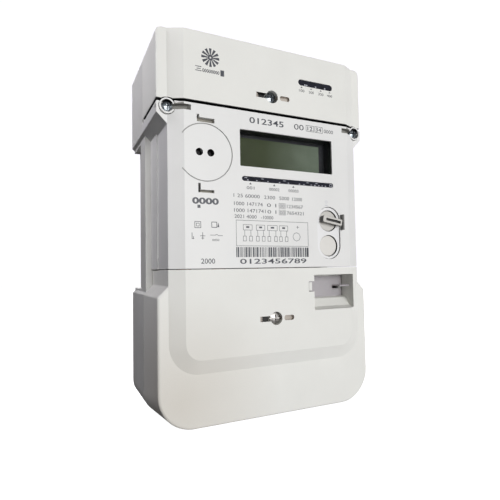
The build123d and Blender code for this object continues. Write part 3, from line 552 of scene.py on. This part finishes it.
# ---- Optical port ----
# A steel washer behind the ringed face grips the magnet of a reading head, and two infrared diodes look out
# through a pair of small holes. The hooks of the reading head catch steel keepers above and below the ring.
dress(zinc, "port_ring")
diode_resin = surface("Diode resin", (16, 13, 20), (8, 7, 10), 0.5, (900.0, 0.03), specular=0.15)
dress(diode_resin, "port_diodes")
port_low, port_high = (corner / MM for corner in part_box("port_ring"))
port_centre = (port_low + port_high) / 2
DIODE_NEAR, DIODE_FAR, DIODE_HALF = 2.0, 6.0, 2.2
CIRCLE_INNER, CIRCLE_OUTER, CIRCLE_SKIN, CIRCLE_DEPTH = 15.3, 16.3, 0.02, 0.6


def is_wall(spot, normal):
    """Whether a face runs back from the front."""
    return abs(normal.y) < 0.5


def in_diode_hole(spot, normal):
    """Whether a face is on the wall of a diode's hole."""
    across, level = abs(spot.x - port_centre.x), abs(spot.z - port_centre.z)
    return DIODE_NEAR < across < DIODE_FAR and level < DIODE_HALF and is_wall(spot, normal)


def in_port_circle(spot, normal):
    """Whether a face lies in the shallow ring cut round the port."""
    reach = math.hypot(spot.x - port_centre.x, spot.z - port_centre.z)
    return CIRCLE_INNER < reach < CIRCLE_OUTER and CIRCLE_SKIN < spot.y - face_y / MM < CIRCLE_DEPTH


# painted shade darkens the walls of the two diode holes
tint_faces("main_cover", recess_painted_shade, in_diode_hole)
# painted shade in the shallow ring cut round the port
port_circle_painted_shade = surface("Port circle painted shade", (170, 170, 166), (146, 146, 144), 0.6, (1500.0, 0.2))
tint_faces("main_cover", port_circle_painted_shade, in_port_circle)


def rounded_slab(name, place, size, rounding, finish):
    """Block with softened edges, centred on a place."""
    bpy.ops.object.select_all(action="DESELECT")
    bpy.ops.mesh.primitive_cube_add(size=1, location=place, scale=size)
    slab = bpy.context.object
    slab.name = name
    bpy.ops.object.transform_apply(location=True, rotation=True, scale=True)
    bpy.ops.object.mode_set(mode="EDIT")
    bpy.ops.mesh.select_all(action="SELECT")
    bpy.ops.mesh.bevel(offset=rounding, segments=2, affect="EDGES")
    bpy.ops.object.mode_set(mode="OBJECT")
    slab.data.materials.append(finish)
    return slab


# the keepers lie behind the two hook slots: left, right, low and high edge of each, in millimetres
keeper_steel = surface(
    "Keeper steel", (150, 146, 134), (112, 108, 98), 0.5, (900.0, 0.15), cloud=220.0, dust=0.3,
)
KEEPER_DEPTH, KEEPER_THICKNESS, KEEPER_ROUNDING = 3.0, 0.8, 0.25
KEEPERS = {"upper_keeper": (-46.9, -35.8, 56.4, 59.9), "lower_keeper": (-44.2, -36.4, 17.8, 20.4)}
for name, (left, right, low, high) in KEEPERS.items():
    keeper = rounded_slab(
        name,
        ((left + right) / 2 * MM, face_y + KEEPER_DEPTH * MM, (low + high) / 2 * MM),
        ((right - left) * MM, KEEPER_THICKNESS * MM, (high - low) * MM),
        KEEPER_ROUNDING * MM,
        keeper_steel,
    )
    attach(keeper, "meter")


# ---- Controls ----
# A sealed knob with a slotted grip above a plain round push button, both in a pill-shaped bezel.
# The knob's grip is painted dark as shade, and a lug beside it takes the seal wire. A coil spring behind the
# button pushes it out again.
bezel_plastic = surface("Bezel plastic", (236, 236, 235), (228, 228, 227), 0.34, (2600.0, 0.1))
dress(bezel_plastic, "control_bezel")
# painted shade darkens the walls of the bezel's holes
tint_faces("control_bezel", recess_painted_shade, is_wall)
button_plastic = surface(
    "Button plastic", (226, 224, 218), (218, 216, 209), 0.42, (1500.0, 0.3), rub=(236, 235, 230),
)
dress(button_plastic, "scroll_button")
knob_plastic = surface(
    "Knob plastic", (214, 212, 206), (196, 194, 187), 0.36, (1500.0, 0.25), rub=(150, 148, 142), width=0.0006,
)
dress(knob_plastic, "seal_knob")
# the lug's dark grey is painted shadow beside the grip's end
lug_painted_shadow = surface("Lug painted shadow", (120, 120, 116), (92, 92, 88), 0.4, (1500.0, 0.25))
dress(lug_painted_shadow, "seal_lug")

# the grip is the front of the knob, painted dark as shade all over except on the flat top of its frame
GRIP_DEPTH = 2.9 * MM
GRIP_TOP = 0.5 * MM
grip_painted_shade = surface(
    "Grip painted shade", (84, 84, 82), (48, 48, 48), 0.34, (1500.0, 0.25), rub=(128, 128, 124), width=0.0003,
)
knob_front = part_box("seal_knob")[0].y
nodes["seal_knob"].data.materials.append(grip_painted_shade)
for polygon in nodes["seal_knob"].data.polygons:
    depth = polygon.center.y - knob_front
    frame_top = depth < GRIP_TOP and polygon.normal.y < -0.3
    if depth < GRIP_DEPTH and not frame_top:
        polygon.material_index = 1

# the button's spring, as a smooth piece
WELD = 0.002 * MM
SMOOTH_ANGLE = math.radians(40)
spring = bpy.data.objects.new("button_spring", nodes["scroll_spring"].data.copy())
bpy.context.scene.collection.objects.link(spring)
bpy.ops.object.select_all(action="DESELECT")
spring.select_set(True)
bpy.context.view_layer.objects.active = spring
bpy.ops.object.mode_set(mode="EDIT")
bpy.ops.mesh.select_all(action="SELECT")
bpy.ops.mesh.remove_doubles(threshold=WELD)
bpy.ops.object.mode_set(mode="OBJECT")
bpy.ops.object.shade_smooth_by_angle(angle=SMOOTH_ANGLE)
spring.data.materials.clear()
spring.data.materials.append(zinc)
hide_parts("scroll_spring")
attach(spring, "meter")
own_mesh(spring)
dress(black_plastic, "scroll_switch", "knob_switch", "cover_switch", "switch_plunger")


# ---- Printing on the covers ----
# Dark grey pad-printed ink, a few hundredths of a millimetre thick: a round mark, ratings, a connection
# diagram and a bar code. It holds no words, only plain digits and bars. All places are in millimetres.
INK = 0.05 * MM
ink = surface(
    "Printing ink", (72, 75, 82), (54, 57, 64), 0.45, (1200.0, 0.1), rub=(90, 92, 98), cloud=500.0, dust=0.0,
)
pale_ink = surface(
    "Pale ink", (196, 198, 204), (170, 172, 180), 0.5, (1200.0, 0.1), cloud=500.0, dust=0.0,
)


def settle(piece, low, high):
    """Sizes and moves a flat print so that it fills a box, and leaves its place in its mesh."""
    bpy.context.view_layer.update()
    bpy.ops.object.transform_apply(location=True, rotation=True, scale=True)
    spots = [vertex.co for vertex in piece.data.vertices]
    least = Vector([min(spot[axis] for spot in spots) for axis in range(3)])
    most = Vector([max(spot[axis] for spot in spots) for axis in range(3)])
    for spot in spots:
        for axis in range(3):
            share = (spot[axis] - least[axis]) / max(most[axis] - least[axis], 1e-9)
            spot[axis] = low[axis] + share * (high[axis] - low[axis])


def digits(text, left, right, low, high, weight=0.0, front=None):
    """Row of printed digits that fills a box given in millimetres on the front face."""
    bpy.ops.object.select_all(action="DESELECT")
    bpy.ops.object.text_add(rotation=(math.pi / 2, 0, 0))
    row = bpy.context.object
    row.data.body = text
    row.data.extrude = 0.05
    row.data.offset = weight
    row.data.resolution_u = 3
    bpy.ops.object.convert(target="MESH")
    row = bpy.context.object
    level = face_y if front is None else front
    settle(row, (left * MM, level - INK, low * MM), (right * MM, level + INK / 2, high * MM))
    return row


def bars(rectangles, front=None):
    """Printed bars in one mesh, each given as left, right, low and high, with softened edges."""
    level = face_y if front is None else front
    bpy.ops.object.select_all(action="DESELECT")
    for number, (left, right, low, high) in enumerate(rectangles):
        place = ((left + right) / 2 * MM, level - INK / 4, (low + high) / 2 * MM)
        size = ((right - left) * MM, INK * 1.5, (high - low) * MM)
        if number == 0:
            bpy.ops.mesh.primitive_cube_add(size=1, location=place, scale=size)
            group = bpy.context.object
            bpy.ops.object.transform_apply(location=True, rotation=True, scale=True)
            bpy.ops.object.mode_set(mode="EDIT")
            continue
        bpy.ops.mesh.primitive_cube_add(size=1, location=(0, 0, 0), scale=(1, 1, 1))
        bpy.ops.transform.resize(value=size)
        bpy.ops.transform.translate(value=place)
    bpy.ops.mesh.select_all(action="SELECT")
    bpy.ops.mesh.bevel(offset=0.012 * MM, segments=1, affect="EDGES")
    bpy.ops.object.mode_set(mode="OBJECT")
    return group


def outline_of(left, right, low, high, line=0.25):
    """Four bars that frame a box."""
    return [
        (left, right, high - line, high), (left, right, low, low + line),
        (left, left + line, low, high), (right - line, right, low, high),
    ]


def hoop(x, z, radius, line, sides=24):
    """Printed ring about a point."""
    bpy.ops.object.select_all(action="DESELECT")
    bpy.ops.mesh.primitive_torus_add(
        major_radius=radius * MM, minor_radius=line / 2 * MM, major_segments=sides, minor_segments=6,
        location=(x * MM, face_y, z * MM), rotation=(math.pi / 2, 0, 0),
    )
    ring = bpy.context.object
    reach = (radius + line / 2) * MM
    settle(ring, (x * MM - reach, face_y - INK, z * MM - reach),
           (x * MM + reach, face_y + INK / 2, z * MM + reach))
    return ring


def pointer(x, z, width, height, up=True):
    """Printed triangle that points up or down."""
    bpy.ops.object.select_all(action="DESELECT")
    bpy.ops.mesh.primitive_cone_add(
        vertices=3, radius1=1, radius2=0.9, depth=0.1, rotation=(math.pi / 2, 0 if up else math.pi, 0),
    )
    mark = bpy.context.object
    settle(mark, ((x - width / 2) * MM, face_y - INK, (z - height / 2) * MM),
           ((x + width / 2) * MM, face_y + INK / 2, (z + height / 2) * MM))
    return mark


def print_on(name, body, pieces, finish):
    """Joins prints into one named piece on a body."""
    bpy.ops.object.select_all(action="DESELECT")
    for piece in pieces:
        piece.select_set(True)
    bpy.context.view_layer.objects.active = pieces[0]
    if len(pieces) > 1:
        bpy.ops.object.join()
    piece = pieces[0]
    piece.name = name
    piece.data.name = name
    piece.data.materials.clear()
    piece.data.materials.append(finish)
    for polygon in piece.data.polygons:
        polygon.material_index = 0
    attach(piece, body)


def sun_mark(x, z, radius, rays):
    """Round mark of even rays about a hub: one ray that narrows towards the hub, spun round."""
    ray_middle, ray_width, ray_length, narrowing = radius * 0.66, radius * 0.3, radius * 0.68, 0.42
    hub_radius, hub_line = radius * 0.2, radius * 0.22
    bpy.ops.object.select_all(action="DESELECT")
    bpy.ops.mesh.primitive_cube_add(size=1, location=(x * MM, face_y - INK / 4, (z + ray_middle) * MM))
    mark = bpy.context.object
    mark.scale = (ray_width * MM, INK * 1.5, ray_length * MM)
    bpy.ops.object.transform_apply(location=True, rotation=True, scale=True)
    for vertex in mark.data.vertices:
        if vertex.co.z < (z + radius * 0.5) * MM:
            vertex.co.x = x * MM + (vertex.co.x - x * MM) * narrowing
    bpy.ops.object.mode_set(mode="EDIT")
    bpy.ops.mesh.select_all(action="SELECT")
    bpy.ops.mesh.spin(
        steps=rays - 1, dupli=True, angle=2 * math.pi * (rays - 1) / rays,
        center=(x * MM, face_y, z * MM), axis=(0, 1, 0),
    )
    bpy.ops.object.mode_set(mode="OBJECT")
    return [mark, hoop(x, z, hub_radius, hub_line)]


# mark, name strip and lamp labels on the top cover
name_strip = [
    bars([(-47.0, -43.4, 87.2, 87.6), (-46.2, -43.8, 86.0, 86.4), (-47.0, -43.4, 84.9, 85.3)]),
    digits("00000000", -43.0, -33.0, 84.7, 86.7, 0.02),
    bars([(-32.4, -30.2, 84.2, 87.6)]),
]
print_on("cover_mark", "top_cover", sun_mark(-38.2, 93.5, 5.2, 12) + name_strip, ink)
status_x = (20.5, 27.4, 34.5, 41.0)
lamp_labels = [digits(f"{order}00", x - 1.9, x + 1.9, 84.0, 85.6) for order, x in enumerate(status_x, 1)]
print_on("status_labels", "top_cover", [pointer(x, 87.1, 1.4, 1.1) for x in status_x] + lamp_labels, ink)

# heading, marks and lamp labels round the display
heading = [
    digits("012345", -15.1, 7.3, 60.2, 63.7, 0.012),
    digits("00", 14.5, 21.3, 60.2, 63.6),
    digits("12", 24.0, 27.6, 60.8, 63.2, 0.01),
    digits("34", 29.9, 34.0, 60.8, 63.2),
    digits("0000", 36.0, 42.9, 60.6, 62.8),
    bars(outline_of(22.9, 28.6, 60.1, 63.9) + outline_of(29.2, 35.0, 60.1, 63.9)),
]
print_on("heading_print", "meter", heading, ink)
strip_marks = ((-15.1, 2.4, "001"), (0.2, 3.4, "00002"), (13.1, 3.4, "00003"))
strip_labels = [digits(text, x - wide, x + wide, 21.9, 23.6) for x, wide, text in strip_marks]
strip_pointers = [pointer(x, 25.3, 1.6, 1.2) for x, wide, text in strip_marks]
print_on("strip_labels", "meter", strip_pointers + strip_labels, ink)

# ratings, as groups of digits
ratings = [
    digits("1 25 60000", -25.6, -9.4, 17.0, 19.0), digits("2300", -6.6, 0.6, 16.9, 18.9),
    digits("5000", 3.4, 10.0, 16.9, 18.9), digits("12000", 12.2, 18.9, 16.8, 18.8),
    digits("1000 147174", -25.4, -7.6, 12.5, 14.5), digits("0 1", -4.8, 1.2, 12.4, 14.4),
    digits("00 1234567", 3.6, 19.4, 12.3, 14.3),
    digits("1000 1471741", -25.4, -5.8, 8.7, 10.7), digits("0 1", -4.6, 1.2, 8.6, 10.6),
    digits("00 7654321", 3.6, 19.8, 8.4, 10.4),
    digits("2021 4000", -25.2, -11.6, 5.3, 7.3), digits("-10000", -8.8, -0.9, 5.2, 7.2),
    bars(outline_of(3.0, 7.4, 11.9, 14.9, 0.2) + outline_of(3.0, 7.4, 8.0, 11.0, 0.2)),
]
print_on("ratings_print", "meter", ratings, ink)

# connection diagram: a frame, four coil blocks with their leads, and an outlet
diagram = outline_of(-24.4, 22.7, -10.3, 4.2, 0.22)
for left, right in ((-20.1, -14.4), (-12.0, -6.4), (-4.8, 1.7), (3.0, 8.7)):
    diagram += outline_of(left, right, -1.4, 1.8, 0.22)
    third = (right - left) / 3
    diagram.append((left + third, right - third, -0.1, 0.9))
    for stem in (left + third * 0.5, right - third * 0.5):
        diagram.append((stem - 0.12, stem + 0.12, -4.6, -1.4))
        diagram += outline_of(stem - 1.0, stem + 1.0, -7.6, -4.6, 0.24)
diagram += [(14.6, 16.4, 1.0, 1.25), (15.2, 15.5, 0.4, 1.9)]
print_on("connection_diagram", "meter", [bars(diagram), hoop(14.6, -4.6, 2.5, 0.26, 8)], ink)

# bar code of seeded widths between two edges, with one wide bar at its end, and the digits under it
CODE_LEFT, CODE_RIGHT, CODE_LOW, CODE_HIGH = -24.5, 22.7, -16.5, -10.9
CODE_STOP, LAST_BAR = 21.6, 22.1
draw = random.Random(7)
code = []
edge = CODE_LEFT
while edge < CODE_STOP:
    bar_width = draw.choice((0.3, 0.3, 0.6, 0.9))
    code.append((edge, min(edge + bar_width, CODE_RIGHT), CODE_LOW, CODE_HIGH))
    edge += bar_width + draw.choice((0.3, 0.3, 0.6))
code.append((LAST_BAR, CODE_RIGHT, CODE_LOW, CODE_HIGH))
print_on("bar_code", "meter", [bars(code), digits("0123456789", -22.3, 21.0, -20.3, -17.4, 0.012)], ink)

# left column: a bold mark, two framed symbols, three line symbols and the year's place
column = [
    digits("0000", -49.5, -34.4, 12.0, 15.6, 0.04),
    bars([(-46.6, -44.9, 9.9, 11.6)]),
    bars(outline_of(-48.3, -44.7, -0.9, 2.7, 0.3) + outline_of(-47.4, -45.6, 0.0, 1.8, 0.25)),
    bars(outline_of(-38.8, -35.6, -0.5, 2.7, 0.35)),
    pointer(-34.9, 1.1, 1.2, 2.6),
    bars([(-49.9, -49.6, -6.6, -3.4), (-49.9, -48.6, -6.8, -6.5), (-49.2, -48.9, -6.6, -5.4)]),
    bars([(-44.0, -43.7, -7.0, -3.2), (-45.2, -42.4, -5.2, -4.9), (-44.6, -43.0, -6.4, -6.1)]),
    bars([(-39.6, -36.4, -4.7, -4.45), (-36.5, -35.2, -4.4, -4.15), (-35.3, -32.4, -4.9, -4.65)]),
    digits("0000", -38.4, -34.4, -7.8, -6.6),
    digits("2000", -44.9, -37.0, -20.0, -17.2, 0.008),
]
print_on("side_symbols", "meter", column, ink)

# pale ticks on the two lamp strips, and the faint mark over the knob
strip_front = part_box("indicator_lens")[0].y
short_ticks = (-16.9, -11.2, -4.1, 3.6, 9.6, 17.2, 20.4, 25.6, 28.2, 31.1, 33.6, 36.0)
long_ticks = (-18.6, -8.0, 6.4, 22.6, 29.0)
ticks = [(x, x + 0.7, 26.9, 27.5) for x in short_ticks] + [(x, x + 1.6, 28.3, 28.6) for x in long_ticks]
ticks += outline_of(39.4, 41.4, 27.0, 28.8, 0.3)
print_on("strip_ticks", "meter", [bars(ticks, strip_front)], pale_ink)
status_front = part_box("status_lens")[0].y
status_ticks = [(x, x + 0.9, 88.5, 89.3) for x in (22.6, 23.9, 30.4, 37.2)]
print_on("status_ticks", "top_cover", [bars(status_ticks, status_front)], pale_ink)
print_on("knob_mark", "meter", [hoop(36.4, 17.4, 0.8, 0.25, 12), bars([(35.4, 37.4, 15.2, 15.5)])], pale_ink)


# ---- Shutter of the service port ----
# A thin grey slide behind the recess of the terminal cover, with a rib to pull it open by. On its left a
# tongue moulded with the cover stands in a notch, where the slide comes to a stop.
shutter_plastic = surface(
    "Shutter plastic", (172, 168, 170), (158, 154, 157), 0.5, (1500.0, 0.3), rub=(196, 190, 192),
)
dress(shutter_plastic, "port_shutter")
TONGUE_WIDTH, TONGUE_DEPTH, TONGUE_HEIGHT, TONGUE_ROUNDING = 2.3, 11.2, 5.2, 0.35
TONGUE_MIDDLE = (24.05, 6.2, -34.2)
tongue = rounded_slab(
    "stop_tongue",
    (TONGUE_MIDDLE[0] * MM, face_y + TONGUE_MIDDLE[1] * MM, TONGUE_MIDDLE[2] * MM),
    (TONGUE_WIDTH * MM, TONGUE_DEPTH * MM, TONGUE_HEIGHT * MM),
    TONGUE_ROUNDING * MM,
    cover_plastic,
)
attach(tongue, "terminal_lid")
NOTCH_LEFT, NOTCH_RIGHT, NOTCH_LOW, NOTCH_HIGH = 22.2, 26.9, -37.6, -30.9
NOTCH_WALL = 0.8


def on_notch_side(spot, normal):
    """Whether a face is the left wall of the notch."""
    return 0 < spot.x - NOTCH_LEFT < NOTCH_WALL and NOTCH_LOW < spot.z < NOTCH_HIGH and normal.x > 0.5


def on_notch_end(spot, normal):
    """Whether a face is the upper or lower wall of the notch."""
    return NOTCH_LEFT < spot.x < NOTCH_RIGHT and NOTCH_LOW < spot.z < NOTCH_HIGH and abs(normal.z) > 0.7


# painted shade darkens the left, upper and lower walls of the notch
tint_faces("terminal_cover", recess_painted_shade, on_notch_side)
tint_faces("terminal_cover", recess_painted_shade, on_notch_end)


# ---- Boards and what is soldered to them ----
# Green fibreglass boards on posts and pillars, with the measuring parts, the supply and the relay.
# None of it shows until a cover is off, but it fills the case as the real parts do.
board_green = surface(
    "Circuit board", (42, 104, 62), (24, 74, 42), 0.34, (1200.0, 0.3), rub=(170, 160, 96),
    cloud=260.0, coat=0.2,
)
dress(board_green, "main_board", "display_board", "module_board")
dress(nickel, "board_screws", "board_pillars", "battery_clip")
chip_black = surface("Chip resin", (44, 44, 46), (30, 30, 32), 0.55, (2500.0, 0.4), rub=(78, 78, 80))
dress(chip_black, "control_chips", "radio_chip", "module_plug", "module_socket")
can_sleeve = surface("Can sleeve", (36, 44, 70), (24, 28, 48), 0.3, (900.0, 0.1), cloud=120.0)
dress(can_sleeve, "capacitors")
varistor_lacquer = surface("Varistor lacquer", (40, 84, 160), (26, 62, 128), 0.35, (900.0, 0.4), cloud=200.0)
dress(varistor_lacquer, "varistor")
winding = surface("Winding", (176, 110, 62), (140, 78, 40), 0.36, (700.0, 0.5), cloud=350.0, metal=0.6)
dress(winding, "power_transformer", "current_transformer")
cell_steel = surface("Cell steel", (190, 192, 194), (150, 152, 156), 0.3, (700.0, 0.1), metal=0.9)
dress(cell_steel, "backup_battery")
dress(white_plastic, "disconnect_relay")
copper = surface(
    "Copper", (196, 120, 82), (158, 88, 58), 0.32, (700.0, 0.2), rub=(226, 160, 120), cloud=180.0, metal=1.0,
)
dress(copper, "live_in_bar", "live_out_bar", "neutral_bar", "antenna")
manganin = surface("Manganin", (170, 150, 132), (140, 122, 106), 0.34, (700.0, 0.2), metal=1.0)
dress(manganin, "current_shunt")


# ---- Mains terminals ----
# A black moulded block holds four brass clamps, each with two slotted screws that press on the cable. Their
# numbers are printed on its front in pale ink.
block_resin = surface(
    "Terminal block resin", (58, 58, 60), (40, 40, 42), 0.5, (1600.0, 0.35), rub=(104, 104, 106),
)
dress(block_resin, "terminal_block")
dress(zinc, "terminal_screws")
socket_plastic = surface("Socket plastic", (214, 214, 208), (200, 200, 194), 0.45)
dress(socket_plastic, "service_socket")
block_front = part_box("terminal_block")[0].y
numbers = [digits(str(order), x - 1.2, x + 1.2, -51.4, -47.8, 0.02, block_front)
           for order, x in enumerate((-37.5, -12.5, 12.5, 24.0), 1)]
print_on("terminal_numbers", "meter", numbers, pale_ink)


# ---- Plug-in module ----
# A flat pale case of moulded plastic that plugs into the meter under the top cover. It carries the radio
# board, and it is swapped when the network changes.
module_plastic = surface(
    "Module plastic", (206, 208, 208), (192, 194, 194), 0.44, (2000.0, 0.3), rub=(226, 228, 228),
)
dress(module_plastic, "module_case", "module_lid")


# ---- Studio ----
# A pale glowing floor under a white backdrop. A broad soft lamp stands far in front of the meter, a small one
# high on its left and a wide one behind it.
FLOOR_GAP = 0.2 * MM
FLOOR_GLOW = 0.95
bpy.ops.mesh.primitive_plane_add(size=6.0, location=(0, 0, cad_box[0][2] - FLOOR_GAP))
floor = bpy.context.object
floor.name = "floor"
floor_finish = bpy.data.materials.new("Studio floor")
floor_finish.use_nodes = True
floor_shader = floor_finish.node_tree.nodes["Principled BSDF"]
floor_shader.inputs["Base Color"].default_value = (0.9, 0.9, 0.9, 1)
floor_shader.inputs["Roughness"].default_value = 0.9
floor_shader.inputs["Emission Color"].default_value = (1, 1, 1, 1)
floor_shader.inputs["Emission Strength"].default_value = FLOOR_GLOW
floor.data.materials.append(floor_finish)
floor.visible_diffuse = False
floor.visible_glossy = False


def soft_lamp(name, place, target, size, watts, fan=180.0):
    """Square soft lamp aimed at a point."""
    bpy.ops.object.light_add(type="AREA", location=place)
    lamp = bpy.context.object
    lamp.name = name
    lamp.data.size = size
    lamp.data.energy = watts
    lamp.data.spread = math.radians(fan)
    lamp.rotation_euler = (Vector(target) - Vector(place)).to_track_quat("-Z", "Y").to_euler()
    return lamp


soft_lamp("key_lamp", (0.12, -1.5, 0.12), (0, 0, 0), 0.7, 16.9)
left_lamp = soft_lamp("left_lamp", (-0.36, -0.02, 0.36), (-0.06, -0.03, 0.13), 0.12, 0.355, 88.0)
left_lamp.data.color = (0.95, 0.93, 1.0)
soft_lamp("back_lamp", (0.3, 1.4, 0.6), (0, 0, 0), 0.9, 12.0)

# the room glows from the front right, and is plain white where the camera sees it
BRIGHT_SIDE = (0.55, -0.72, -0.3)
SEEN_WHITE = 1.08
world = bpy.data.worlds.new("Studio")
bpy.context.scene.world = world
world.use_nodes = True
sky = world.node_tree
backdrop = sky.nodes["Background"]
backdrop.inputs["Color"].default_value = (0.96, 0.95, 1.0, 1)
seen = sky.nodes.new("ShaderNodeLightPath").outputs["Is Camera Ray"]
look = sky.nodes.new("ShaderNodeTexCoord").outputs["Generated"]
side = sky.nodes.new("ShaderNodeVectorMath")
side.operation = "DOT_PRODUCT"
side.inputs[1].default_value = BRIGHT_SIDE
sky.links.new(look, side.inputs[0])
glow = spread(sky, side.outputs["Value"], -0.05, 0.9, 0.015, 0.6)
strength = maths(sky, "MAXIMUM", glow, maths(sky, "MULTIPLY", seen, SEEN_WHITE))
sky.links.new(strength, backdrop.inputs["Strength"])

# the camera stands close, a little to the left and below, and looks slightly up
bpy.ops.object.camera_add()
camera = bpy.context.object
camera.name = "camera"
eye = Vector((-0.1155, -0.2917, -0.0235))
right = Vector((0.9062, -0.4226, -0.0172)).normalized()
forward = Vector((0.4229, 0.9050, 0.0467))
forward = (forward - forward.dot(right) * right).normalized()
up = right.cross(forward)
camera.matrix_world = Matrix((
    (right.x, up.x, -forward.x, eye.x),
    (right.y, up.y, -forward.y, eye.y),
    (right.z, up.z, -forward.z, eye.z),
    (0, 0, 0, 1),
))
camera.data.sensor_width = 36.0
camera.data.lens = 30.13
camera.data.clip_start = 0.01
camera.data.clip_end = 20.0
bpy.context.scene.camera = camera
bpy.context.scene.view_settings.view_transform = "Standard"
